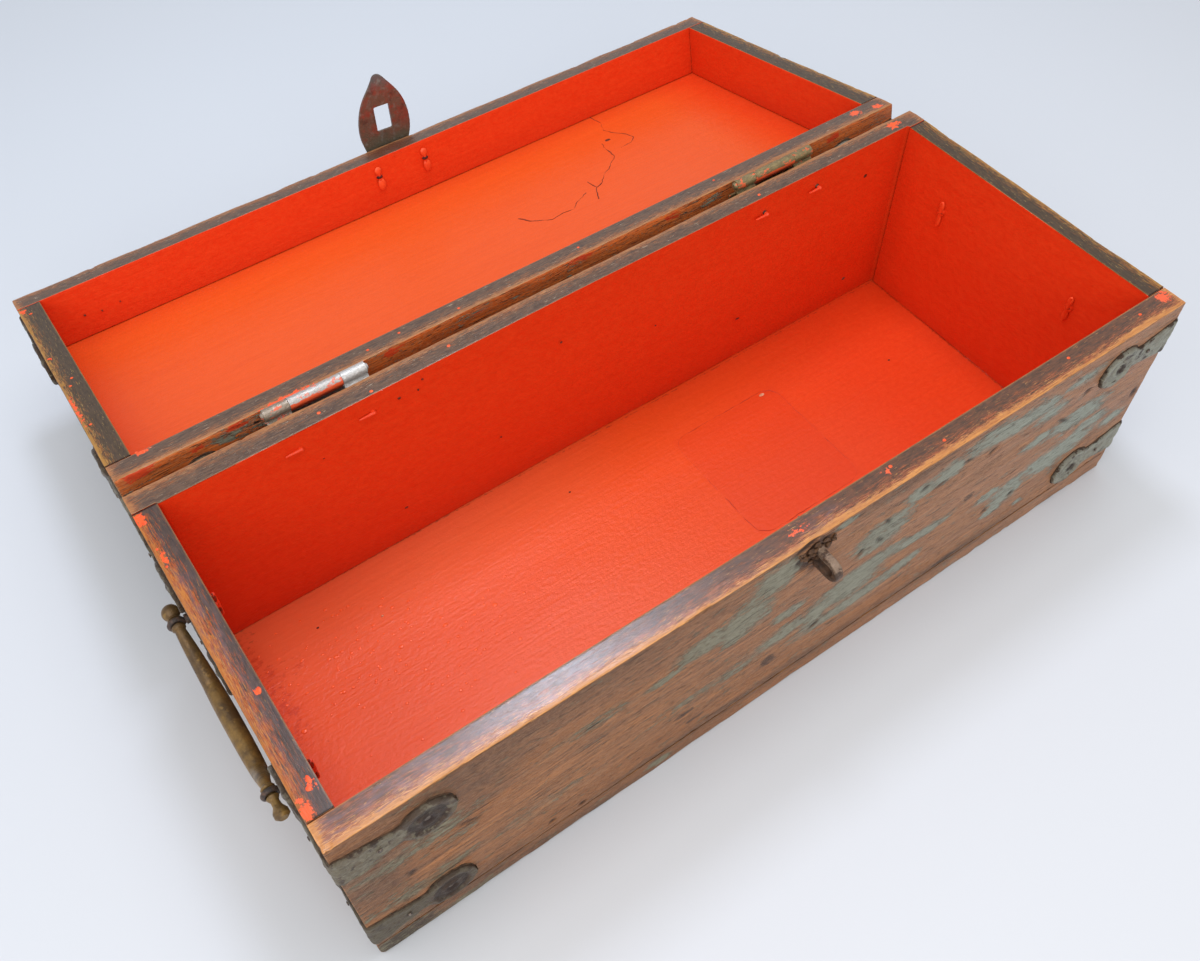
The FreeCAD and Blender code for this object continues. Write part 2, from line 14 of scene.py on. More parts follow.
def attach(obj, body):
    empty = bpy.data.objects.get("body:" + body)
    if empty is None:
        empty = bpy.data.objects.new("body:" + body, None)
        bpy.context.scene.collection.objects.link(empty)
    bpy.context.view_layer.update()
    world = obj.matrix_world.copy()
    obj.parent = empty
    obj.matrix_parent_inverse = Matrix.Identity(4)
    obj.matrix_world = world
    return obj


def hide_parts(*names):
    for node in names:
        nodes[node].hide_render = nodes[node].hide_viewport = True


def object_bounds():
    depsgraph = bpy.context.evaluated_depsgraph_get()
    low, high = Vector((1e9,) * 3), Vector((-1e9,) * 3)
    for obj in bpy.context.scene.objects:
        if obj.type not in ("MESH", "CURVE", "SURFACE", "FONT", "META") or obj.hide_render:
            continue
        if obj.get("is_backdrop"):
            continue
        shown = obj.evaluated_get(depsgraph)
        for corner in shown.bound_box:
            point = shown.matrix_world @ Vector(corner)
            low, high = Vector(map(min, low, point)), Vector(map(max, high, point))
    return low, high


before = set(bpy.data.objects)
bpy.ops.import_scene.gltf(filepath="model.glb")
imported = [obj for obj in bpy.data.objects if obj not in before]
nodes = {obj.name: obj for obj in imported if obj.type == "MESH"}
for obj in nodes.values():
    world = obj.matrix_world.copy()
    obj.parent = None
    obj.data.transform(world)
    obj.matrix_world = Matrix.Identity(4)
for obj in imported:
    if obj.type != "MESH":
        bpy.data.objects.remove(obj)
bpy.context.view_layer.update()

# %% [markdown]
# ## Three small tools
# A colour is written as the hex code that a paint shop would give, which is sRGB. Blender's nodes take
# linear values, so one function turns the first into the second. A second function adds a node, sets it
# and joins it, because every finish below is a chain of nodes and would otherwise be hard to read. A
# third starts a geometry tree with named inputs, whose identifiers set them on a modifier later.

# %% Colour and node helpers
MM = 0.001


def colour(code):
    """An sRGB hex code as linear red, green, blue and alpha."""
    parts = [int(code[k:k + 2], 16) / 255 for k in (1, 3, 5)]
    return [p / 12.92 if p <= 0.04045 else ((p + 0.055) / 1.055) ** 2.4 for p in parts] + [1.0]


def add(tree, kind, sockets=None, out=0, **settings):
    """Adds a node, sets it, joins or fills its sockets, and gives back one of its outputs."""
    made = tree.nodes.new(kind)
    for name, value in settings.items():
        setattr(made, name, value)
    for name, value in (sockets or {}).items():
        if isinstance(value, bpy.types.NodeSocket):
            tree.links.new(value, made.inputs[name])
        else:
            made.inputs[name].default_value = value
    return made.outputs[out] if made.outputs else made


def new_tree(name, inputs, result, source=None):
    """A geometry tree with named inputs: the tree, the inputs' identifiers and the inputs themselves."""
    made = bpy.data.node_groups.new(name, "GeometryNodeTree")
    if source:
        made.interface.new_socket(source, in_out="INPUT", socket_type="NodeSocketGeometry")
    identifiers = {label: made.interface.new_socket(label, in_out="INPUT",
                                                    socket_type="NodeSocket" + kind).identifier
                   for label, kind in inputs.items()}
    made.interface.new_socket(result, in_out="OUTPUT", socket_type="NodeSocketGeometry")
    return made, identifiers, add(made, "NodeGroupInput").node.outputs


print("orange enamel in linear light:", [round(v, 3) for v in colour("#DC3712")])

# %% [markdown]
# ## The room
# The chest stands on a plain pale floor under a small soft lamp above and a little behind it, so the worn
# top edges catch a sheen. A wide lamp straight overhead lights the floor of the chest up to its walls and
# leaves the walls themselves in gentle shade. Two broad ones fill the front and the left from further
# off, and the world adds an even pale light, as white walls would.

# %% Camera
camera_data = bpy.data.cameras.new("studio_camera")
camera_data.lens, camera_data.sensor_width = 34.708, 36.0
camera_data.clip_start = 0.01
camera = bpy.data.objects.new("studio_camera", camera_data)
bpy.context.scene.collection.objects.link(camera)
CAMERA_PLACE = Vector((-0.29534, -0.34049, 0.68302))
right = Vector((0.81783, -0.57538, -0.00976))
down = Vector((-0.46566, -0.65172, -0.59869))
ahead = Vector((0.33811, 0.49417, -0.80092))
camera.matrix_world = (Matrix.Translation(CAMERA_PLACE)
                       @ Matrix((right, -down, -ahead)).transposed().to_4x4())
bpy.context.scene.camera = camera
print("camera looks down at", round(math.degrees(math.asin(-ahead.z)), 1), "degrees")

# %% Floor
# The floor lies a hair under the chest, so that the two never share a plane.
FLOOR_HALF, FLOOR_LEVEL = 4.0, -0.0002
floor_mesh = bpy.data.meshes.new("studio_floor")
floor_mesh.from_pydata([(side * FLOOR_HALF, far * FLOOR_HALF, FLOOR_LEVEL)
                        for side, far in ((-1, -1), (1, -1), (1, 1), (-1, 1))], [], [(0, 1, 2, 3)])
floor = bpy.data.objects.new("studio_floor", floor_mesh)
bpy.context.scene.collection.objects.link(floor)
floor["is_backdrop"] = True

# Matt white board, painted a little warmer and lighter near the camera than behind the chest as painted
# light.
board_paint = bpy.data.materials.new("matt_white_board")
board_paint.use_nodes = True
tree = board_paint.node_tree
shader = tree.nodes["Principled BSDF"]
spot = add(tree, "ShaderNodeTexCoord", out="Object")
depth = add(tree, "ShaderNodeSeparateXYZ", {0: spot}, out="Y")
fade = add(tree, "ShaderNodeMapRange", {"Value": depth, "From Min": -0.45, "From Max": 0.75})
tone = add(tree, "ShaderNodeMix", {0: fade, 6: colour("#D2D4D8"), 7: colour("#CED4DC")},
           out=2, data_type="RGBA")
tree.links.new(tone, shader.inputs["Base Color"])
shader.inputs["Roughness"].default_value = 0.7
floor_mesh.materials.append(board_paint)
print("floor:", 2 * FLOOR_HALF, "m wide")

# %% Lamps and world
def soft_lamp(name, place, target, width, height, power, tint):
    """A rectangular lamp at a place, turned to face a target."""
    data = bpy.data.lights.new(name, "AREA")
    data.shape = "RECTANGLE"
    data.size, data.size_y = width, height
    data.energy = power
    data.color = colour(tint)[:3]
    lamp = bpy.data.objects.new(name, data)
    bpy.context.scene.collection.objects.link(lamp)
    lamp.matrix_world = (Matrix.Translation(place)
                         @ (Vector(target) - Vector(place)).to_track_quat("-Z", "Y").to_matrix().to_4x4())


soft_lamp("sheen_softbox", (0.12, 0.42, 1.35), (0, 0, 0.1), 0.25, 0.30, 6.0, "#E6EDFF")
soft_lamp("overhead_softbox", (0.0, -0.15, 1.5), (0, -0.1, 0.1), 1.1, 0.7, 6.4, "#FFFFFF")
soft_lamp("front_fill", (-0.6, -1.5, 1.1), (0, 0, 0.1), 1.6, 1.0, 12.0, "#FFFCF8")
soft_lamp("left_fill", (-1.2, -0.2, 1.25), (-0.1, 0, 0.1), 1.2, 1.0, 5.2, "#FFFDFA")

world = bpy.data.worlds.new("pale_studio")
bpy.context.scene.world = world
world.use_nodes = True
sky = world.node_tree.nodes["Background"]
sky.inputs["Color"].default_value = colour("#F4F5F7")
sky.inputs["Strength"].default_value = 0.67
bpy.context.scene.view_settings.view_transform = "Standard"
print("room:", len(bpy.data.lights), "soft lamps and an even world")

# %% [markdown]
# ## Boards
# Ten planks make the chest: five for the base and five for the lid. They share one rule, a sawn board
# whose corners have worn round over the years, more on the outside than inside and in joints. Geometry
# Nodes suit a shape that follows a rule, so one tree makes them all from their sizes, rounds the arrises
# by an amount that wanders along them, lets the faces sink a little, and marks each point with its place
# in the grain and its distance from the nearest arris for the finishes to use.

# %% The worn board tree
tree, board_ids, give = new_tree("worn_board", {
    "Size": "Vector", "Along": "Int", "Thick": "Int", "High": "Int", "Arris": "Float", "Wear": "Float",
    "End wear": "Float", "Covered": "Float", "Grain shift": "Vector", "Outside": "Material",
    "Inside": "Material", "Rim": "Material"}, "Board")
board_tree = tree
block = add(tree, "GeometryNodeMeshCube", {
    "Size": give["Size"], "Vertices X": give["Along"], "Vertices Y": give["Thick"],
    "Vertices Z": give["High"]})

# Rows of points crowd towards the arrises: t becomes t * (1.5 - 0.5 * t * t), t from -1 to 1.
half = add(tree, "ShaderNodeVectorMath", {0: give["Size"], "Scale": 0.5}, operation="SCALE")
spot = add(tree, "GeometryNodeInputPosition")
part_way = add(tree, "ShaderNodeVectorMath", {0: spot, 1: half}, operation="DIVIDE")
square = add(tree, "ShaderNodeVectorMath", {0: part_way, 1: part_way}, operation="MULTIPLY")
bend = add(tree, "ShaderNodeVectorMath", {0: square, 1: (-0.5,) * 3, 2: (1.5,) * 3},
           operation="MULTIPLY_ADD")
packed = add(tree, "ShaderNodeVectorMath", {0: part_way, 1: bend}, operation="MULTIPLY")
crowded = add(tree, "ShaderNodeVectorMath", {0: packed, 1: half}, operation="MULTIPLY")
block = add(tree, "GeometryNodeSetPosition", {"Geometry": block, "Position": crowded})
print("block of", len(tree.nodes), "nodes")

# %% Marks that the board tree writes
# The place in the grain, the distance in from the outer face, and those from the nearest arris and end.
grain = add(tree, "ShaderNodeVectorMath", {0: spot, 1: give["Grain shift"]}, operation="ADD")
size = add(tree, "ShaderNodeVectorMath", {0: spot}, operation="ABSOLUTE")
left = add(tree, "ShaderNodeVectorMath", {0: half, 1: size}, operation="SUBTRACT")
gaps = add(tree, "ShaderNodeSeparateXYZ", {0: left}).node.outputs
# The nearest arris is as far as the middle one of the three distances: their sum less the two others.
arris = add(tree, "ShaderNodeVectorMath", {0: left, 1: (1.0,) * 3}, out="Value", operation="DOT_PRODUCT")
for extreme in ("MINIMUM", "MAXIMUM"):
    other = add(tree, "ShaderNodeMath", {0: gaps[0], 1: gaps[1]}, operation=extreme)
    other = add(tree, "ShaderNodeMath", {0: other, 1: gaps[2]}, operation=extreme)
    arris = add(tree, "ShaderNodeMath", {0: arris, 1: other}, operation="SUBTRACT")
middle = add(tree, "ShaderNodeSeparateXYZ", {0: half}).node.outputs
at = add(tree, "ShaderNodeSeparateXYZ", {0: spot}).node.outputs
across = add(tree, "ShaderNodeMath", {0: at[1], 1: middle[1]}, operation="ADD")
for name, kind, value in (("grain", "FLOAT_VECTOR", grain), ("arris", "FLOAT", arris),
                          ("across", "FLOAT", across), ("to_end", "FLOAT", gaps[0])):
    block = add(tree, "GeometryNodeStoreNamedAttribute",
                {"Geometry": block, "Name": name, "Value": value}, data_type=kind, domain="POINT")
print("marks written: grain, arris, across, to_end")

# %% Worn arrises of the board tree
# The arris radius wanders along the board and is largest on the outer face.
along = add(tree, "ShaderNodeVectorMath", {0: grain, 1: (28.0, 60.0, 60.0)}, operation="MULTIPLY")
wander = add(tree, "ShaderNodeTexNoise", {"Vector": along, "Scale": 1.0, "Detail": 3.0})
drift = add(tree, "ShaderNodeMapRange", {"Value": wander, "From Min": 0.36, "From Max": 0.66})
outer = add(tree, "ShaderNodeMapRange", {"Value": at[1], "From Min": 0.0, "From Max": -4.0 * MM})
end_share = add(tree, "ShaderNodeMapRange", {"Value": gaps[0], "From Min": 12.0 * MM,
                                             "From Max": 20.0 * MM})
at_end = add(tree, "ShaderNodeMix", {0: end_share, 2: give["End wear"], 3: 1.0}, data_type="FLOAT")
worn = drift
for part in (give["Wear"], outer, at_end):
    worn = add(tree, "ShaderNodeMath", {0: worn, 1: part}, operation="MULTIPLY")
radius = add(tree, "ShaderNodeMath", {0: worn, 1: give["Arris"]}, operation="ADD")
core = add(tree, "ShaderNodeVectorMath", {0: half, 1: radius}, operation="SUBTRACT")
minus = add(tree, "ShaderNodeVectorMath", {0: core, "Scale": -1.0}, operation="SCALE")
clamped = add(tree, "ShaderNodeVectorMath", {0: spot, 1: minus}, operation="MAXIMUM")
clamped = add(tree, "ShaderNodeVectorMath", {0: clamped, 1: core}, operation="MINIMUM")
beyond = add(tree, "ShaderNodeVectorMath", {0: spot, 1: clamped}, operation="SUBTRACT")
outward = add(tree, "ShaderNodeVectorMath", {0: beyond}, operation="NORMALIZE")
reach = add(tree, "ShaderNodeVectorMath", {0: outward, "Scale": radius}, operation="SCALE")
rounded = add(tree, "ShaderNodeVectorMath", {0: clamped, 1: reach}, operation="ADD")
block = add(tree, "GeometryNodeSetPosition", {"Geometry": block, "Position": rounded})
print("arrises rounded by", len(tree.nodes), "nodes so far")

# %% Hollows, nicks and finishes of the board tree
# Faces sink in long shallow hollows, and small nicks break the outer arrises.
hollow_at = add(tree, "ShaderNodeVectorMath", {0: grain, 1: (9.0, 30.0, 30.0)}, operation="MULTIPLY")
hollow = add(tree, "ShaderNodeTexNoise", {"Vector": hollow_at, "Scale": 1.0, "Detail": 2.0})
nick_at = add(tree, "ShaderNodeTexNoise", {"Vector": grain, "Scale": 120.0, "Detail": 2.0})
nicked = add(tree, "ShaderNodeMapRange", {"Value": nick_at, "From Min": 0.6, "From Max": 0.72,
                                          "To Max": 0.9 * MM})
stored = add(tree, "GeometryNodeInputNamedAttribute", {"Name": "arris"}, data_type="FLOAT")
close = add(tree, "ShaderNodeMapRange", {"Value": stored, "From Min": 3.0 * MM, "From Max": 0.5 * MM})
nicked = add(tree, "ShaderNodeMath", {0: nicked, 1: close}, operation="MULTIPLY")
nicked = add(tree, "ShaderNodeMath", {0: nicked, 1: outer}, operation="MULTIPLY")
sink = add(tree, "ShaderNodeMath", {0: hollow, 1: 0.45 * MM, 2: nicked}, operation="MULTIPLY_ADD")
sink = add(tree, "ShaderNodeMath", {0: sink, 1: -1.0}, operation="MULTIPLY")
normal = add(tree, "GeometryNodeInputNormal")
inward = add(tree, "ShaderNodeVectorMath", {0: normal, "Scale": sink}, operation="SCALE")
block = add(tree, "GeometryNodeSetPosition", {"Geometry": block, "Offset": inward})

block = add(tree, "GeometryNodeSetShadeSmooth", {"Geometry": block})
block = add(tree, "GeometryNodeRealizeInstances", {"Geometry": block})
block = add(tree, "GeometryNodeSetMaterial", {"Geometry": block, "Material": give["Outside"]})
facing = add(tree, "ShaderNodeSeparateXYZ", {0: normal}).node.outputs
for axis, finish, margin in ((1, "Inside", give["Covered"]), (2, "Rim", 0.0)):
    chosen = add(tree, "FunctionNodeCompare", {0: facing[axis], 1: 0.71}, operation="GREATER_THAN")
    open_to_view = add(tree, "FunctionNodeCompare", {0: stored, 1: margin}, operation="GREATER_EQUAL")
    chosen = add(tree, "FunctionNodeBooleanMath", {0: chosen, 1: open_to_view}, operation="AND")
    block = add(tree, "GeometryNodeSetMaterial",
                {"Geometry": block, "Selection": chosen, "Material": give[finish]})
add(tree, "NodeGroupOutput", {"Board": block})
print("board tree inputs:", list(board_ids))

# %% [markdown]
# ## How the finishes are built
# Every finish is a bare material with coats over it: varnish, paint, rust or dirt, each shown through a
# mask. The masks are noise pulled out along the grain, sized in millimetres from the real marks. Real
# grain never runs quite straight, so it is drawn on places that sway a little. Four small recipes serve
# all finishes: the mask, the sway, the coats of colour and the coats of a single number.

# %% Masks and coats
def streaks(tree, place, long_mm, cross_mm, low, high, seed=0.0, detail=4.0, rough=0.55, lift=None):
    """A mask of marks long_mm by cross_mm along the grain: 0 where the noise is below low, 1 above high."""
    scale = (1 / (long_mm * MM), 1 / (cross_mm * MM), 1 / (cross_mm * MM))
    pulled = add(tree, "ShaderNodeVectorMath", {0: place, 1: scale}, operation="MULTIPLY")
    noise = add(tree, "ShaderNodeTexNoise", {"Vector": pulled, "W": seed, "Scale": 1.0, "Detail": detail,
                                             "Roughness": rough}, noise_dimensions="4D")
    if lift is not None:
        noise = add(tree, "ShaderNodeMath", {0: noise, 1: lift}, operation="ADD")
    return add(tree, "ShaderNodeMapRange", {"Value": noise, "From Min": low, "From Max": high})


def swaying(tree, place, sway_mm, long_mm, cross_mm):
    """The place pushed about by slow noise, so that grain drawn on it runs in gentle waves."""
    scale = (1 / (long_mm * MM), 1 / (cross_mm * MM), 1 / (cross_mm * MM))
    slow = add(tree, "ShaderNodeVectorMath", {0: place, 1: scale}, operation="MULTIPLY")
    noise = add(tree, "ShaderNodeTexNoise", {"Vector": slow, "Scale": 1.0, "Detail": 2.0}, out="Color")
    sway = (2 * sway_mm * MM,) * 3
    shift = add(tree, "ShaderNodeVectorMath", {0: noise, 1: sway, 2: (-sway_mm * MM,) * 3},
                operation="MULTIPLY_ADD")
    return add(tree, "ShaderNodeVectorMath", {0: place, 1: shift}, operation="ADD")


def share(tree, mask, amount, base=0.0):
    """A mask turned down by a number or by another mask, and lifted by a base."""
    return add(tree, "ShaderNodeMath", {0: mask, 1: amount, 2: base}, operation="MULTIPLY_ADD")


def coats(tree, bare, *layers):
    """Lays coats over a bare colour. Each is a mask and a colour, and the last lies on top."""
    under = colour(bare) if isinstance(bare, str) else bare
    for mask, paint in layers:
        paint = colour(paint) if isinstance(paint, str) else paint
        under = add(tree, "ShaderNodeMix", {0: mask, 6: under, 7: paint}, out=2, data_type="RGBA")
    return under


def sheen(tree, bare, *layers):
    """The same for a single number, such as roughness or metallic."""
    under = bare
    for mask, value in layers:
        under = add(tree, "ShaderNodeMix", {0: mask, 2: under, 3: value}, data_type="FLOAT")
    return under


def new_finish(name):
    """A new material, its tree and its shader."""
    made = bpy.data.materials.new(name)
    made.use_nodes = True
    return made, made.node_tree, made.node_tree.nodes["Principled BSDF"]


def written(tree, name, out="Fac"):
    """What a piece has written on its points under a name, such as its place in the grain."""
    return add(tree, "ShaderNodeAttribute", out=out, attribute_name=name)


def surface(tree, shader, base, roughness, relief=None, relief_mm=0.1, metallic=0.0, specular=0.5):
    """Joins a finish's colour, roughness, metallic and relief to its shader."""
    for name, value in (("Base Color", base), ("Roughness", roughness), ("Metallic", metallic)):
        if isinstance(value, bpy.types.NodeSocket):
            tree.links.new(value, shader.inputs[name])
        else:
            shader.inputs[name].default_value = value
    shader.inputs["Specular IOR Level"].default_value = specular
    if relief is not None:
        bump = add(tree, "ShaderNodeBump", {"Height": relief, "Distance": relief_mm * MM, "Strength": 1.0})
        tree.links.new(bump, shader.inputs["Normal"])


print("finish recipes: streaks, swaying, share, coats, sheen, surface")

# %% [markdown]
# ## Orange enamel
# The inside is brushed with a bright orange oil enamel, thick enough to fill the pores but not the
# grain. It is a satin coat that has dulled, so its roughness is a little over 0.3 and it reflects little.
# Its relief is long brush marks over fainter grain. The two panels had a second, more orange coat. It
# fades towards the right: on the lid as painted shade from the lid's right wall, on the floor simply
# darker. An old patch on the floor shows a little darker, tools have scuffed the left side, a pale pink
# sheen on the back left of the floor is painted glare, and dirt has settled along every inside corner,
# where the enamel is also painted darker as shade.

# %% Enamel inside
enamel, tree, shader = new_finish("orange_oil_enamel_brushed")
grain = written(tree, "grain", "Vector")
bent = swaying(tree, grain, 3.0, 90.0, 30.0)
corner = written(tree, "corner")
cloud = streaks(tree, grain, 160.0, 55.0, 0.35, 0.7, seed=1.0, detail=3.0)
brushed = streaks(tree, bent, 60.0, 1.8, 0.3, 0.7, seed=2.0, detail=3.0)
mottled = streaks(tree, grain, 4.2, 3.0, 0.34, 0.66, seed=3.0, detail=5.0, rough=0.62)
# Painted shade: the enamel is painted darker towards every inside corner, over its last 20 mm.
deep = add(tree, "ShaderNodeMapRange", {"Value": corner, "From Min": 20.0 * MM, "From Max": 0.0,
                                        "To Max": 0.3})
tight = add(tree, "ShaderNodeMapRange", {"Value": corner, "From Min": 2.0 * MM, "From Max": 0.3 * MM,
                                         "To Min": -0.34, "To Max": 0.04})
settled = share(tree, written(tree, "dirty"), 0.3, tight)
grime = share(tree, streaks(tree, grain, 3.0, 1.6, 0.46, 0.66, seed=4.0, detail=5.0, lift=settled), 0.55)
# The panel tone fades towards the right: on the lid as painted shade from its right wall.
panel = written(tree, "panel")
scuffed = streaks(tree, grain, 5.0, 2.6, 0.5, 0.6, seed=5.0, detail=7.0, rough=0.7,
                  lift=share(tree, written(tree, "scuffed"), 0.4, -0.36))
# A pale pink sheen painted on the back left of the floor stands for glare.
paint = coats(tree, "#DC3712", (panel, "#E2561C"), (share(tree, written(tree, "chalked"), 0.3), "#F08A68"),
              (share(tree, brushed, 0.2), "#BC2C0E"), (share(tree, mottled, 0.2), "#F2602C"),
              (share(tree, scuffed, 0.6), "#B8391E"),
              (share(tree, written(tree, "patched"), 0.3), "#D23A16"), (deep, "#BE2E10"),
              (grime, "#6E2418"))
relief = share(tree, brushed, 0.6, mottled)
surface(tree, shader, paint, sheen(tree, 0.3, (cloud, 0.38)), relief, 0.13, specular=0.27)
print("enamel:", enamel.name)

# %% [markdown]
# ## Worn top edges
# The rims were painted a dark slate brown and then rubbed for decades by hands and tools. The paint is
# gone from the outer arris in a ragged band, where golden hardwood shows, and thinned to freckles and
# scratches along the grain elsewhere. Handling leaves a soft shine, and the front rim still carries some
# wax, a thin clear coat that mirrors the lamp more sharply than the paint. The four kinds of rim differ
# only in colour, in polish and in how far the wear has gone, so one function makes them.

# %% Rim finishes
def rim_finish(name, *, slate, cloudy, warm, warm_from, pale, pale_from, gold, light, gold_mm, wax, seed,
               jointed):
    """A rim's finish. warm_from and pale_from say how rare the freckles and scratches are, gold_mm how far
    the wear reaches in, wax how much polish is left. A jointed rim ends in a dark seam, any other in a
    worn end."""
    made, tree, shader = new_finish(name)
    grain = written(tree, "grain", "Vector")
    bent = swaying(tree, grain, 2.0, 50.0, 14.0)
    rubbed = written(tree, "rubbed")
    across, to_end = written(tree, "across"), written(tree, "to_end")
    outer = across if jointed else add(tree, "ShaderNodeMath", {0: across, 1: to_end}, operation="MINIMUM")
    mottle = streaks(tree, bent, 7.0, 1.2, 0.38, 0.62, seed, detail=7.0, rough=0.7)
    outward = add(tree, "ShaderNodeMapRange", {"Value": outer, "From Min": 2.0 * MM, "From Max": 11.0 * MM,
                                               "To Min": 0.1, "To Max": -0.05})
    thinned = share(tree, rubbed, 0.06, outward)
    freckled = streaks(tree, bent, 9.0, 0.8, warm_from, warm_from + 0.1, seed + 1, detail=8.0, rough=0.74,
                       lift=thinned)
    glazed = streaks(tree, bent, 14.0, 2.6, 0.44, 0.6, seed + 8, detail=6.0, rough=0.66)
    glazed = share(tree, glazed, share(tree, rubbed, 0.55, 0.05))
    scratched = streaks(tree, bent, 6.0, 0.6, pale_from, pale_from + 0.06, seed + 2, detail=6.0, rough=0.66)
    wander = streaks(tree, grain, 60.0, 9.0, 0.3, 0.7, seed + 3, detail=3.0)
    fray = streaks(tree, bent, 7.0, 1.0, 0.25, 0.75, seed + 4, detail=8.0, rough=0.75)
    ragged = share(tree, fray, 6.0 * MM, -2.4 * MM)
    limit = share(tree, wander, gold_mm * MM, ragged)
    beyond = add(tree, "ShaderNodeMath", {0: outer, 1: limit}, operation="SUBTRACT")
    bare = add(tree, "ShaderNodeMapRange", {"Value": beyond, "From Min": 0.5 * MM, "From Max": -0.9 * MM})
    lip = add(tree, "ShaderNodeMapRange", {"Value": written(tree, "arris"), "From Min": 1.2 * MM,
                                           "From Max": 0.4 * MM, "To Max": 0.6})
    lip = share(tree, lip, fray)
    figure = streaks(tree, bent, 22.0, 0.8, 0.32, 0.68, seed + 5, detail=6.0, rough=0.68)
    pore = streaks(tree, bent, 5.0, 0.6, 0.58, 0.68, seed + 6, detail=4.0)
    spilt = streaks(tree, grain, 3.4, 2.6, 0.5, 0.52, seed + 7, detail=8.0, rough=0.7,
                    lift=share(tree, written(tree, "splashed"), 0.32, -0.25))
    wood = coats(tree, gold, (share(tree, figure, 0.8), light), (share(tree, pore, 0.8), "#5E3420"),
                 (share(tree, mottle, 0.45), warm))
    golden = streaks(tree, bent, 6.0, 0.5, 0.6, 0.68, seed + 9, detail=7.0, rough=0.72, lift=thinned)
    coat = coats(tree, slate, (mottle, cloudy), (freckled, warm), (glazed, "#70585C"),
                 (share(tree, golden, 0.7), light), (scratched, pale))
    coat = coats(tree, coat, (share(tree, written(tree, "dirty"), 0.75), "#5A2C1A"))
    rim_colour = coats(tree, coat, (bare, wood), (lip, light))
    if jointed:
        seam = add(tree, "ShaderNodeMapRange", {"Value": to_end, "From Min": 1.5 * MM, "From Max": 0.7 * MM})
        rim_colour = coats(tree, rim_colour, (seam, "#1C120E"))
    rim_colour = coats(tree, rim_colour, (spilt, "#EE5A2E"))
    relief = share(tree, mottle, 0.6, share(tree, bare, -0.6, figure))
    surface(tree, shader, rim_colour, sheen(tree, 0.24, (bare, 0.34), (freckled, 0.28)), relief, 0.06,
            specular=0.2 + 0.36 * wax)
    shader.inputs["Coat Weight"].default_value = wax
    shader.inputs["Coat Roughness"].default_value = 0.13
    ripple = add(tree, "ShaderNodeBump", {"Height": relief, "Distance": 0.03 * MM, "Strength": 1.0})
    tree.links.new(ripple, shader.inputs["Coat Normal"])
    return made


front_rim = rim_finish(
    "brown_slate_paint_on_the_front_rim", slate="#3E2A1E", cloudy="#684028", warm="#924A22",
    warm_from=0.505, pale="#C08A50", pale_from=0.61, gold="#AC6A30", light="#E0A058", gold_mm=5.2,
    wax=0.6, seed=100.0, jointed=False)
hinge_rim = rim_finish(
    "grey_slate_paint_on_the_hinge_rims", slate="#4A3B34", cloudy="#6C5444", warm="#8C5636",
    warm_from=0.53, pale="#B5A28A", pale_from=0.61, gold="#94603A", light="#B88458", gold_mm=3.0,
    wax=0.1, seed=120.0, jointed=False)
end_rim = rim_finish(
    "slate_paint_on_the_end_rims", slate="#3E3534", cloudy="#54443C", warm="#9C4A1E",
    warm_from=0.52, pale="#A87A48", pale_from=0.62, gold="#9C5C2A", light="#BC7C3C", gold_mm=1.3,
    wax=0.1, seed=140.0, jointed=True)
lid_end_rim = rim_finish(
    "olive_slate_paint_on_the_lid_end_rims", slate="#3C3128", cloudy="#524232", warm="#8A5428",
    warm_from=0.55, pale="#A08450", pale_from=0.6, gold="#946A30", light="#C09048", gold_mm=2.2,
    wax=0.05, seed=160.0, jointed=True)
print("rims:", [m.name for m in (front_rim, hinge_rim, end_rim, lid_end_rim)])
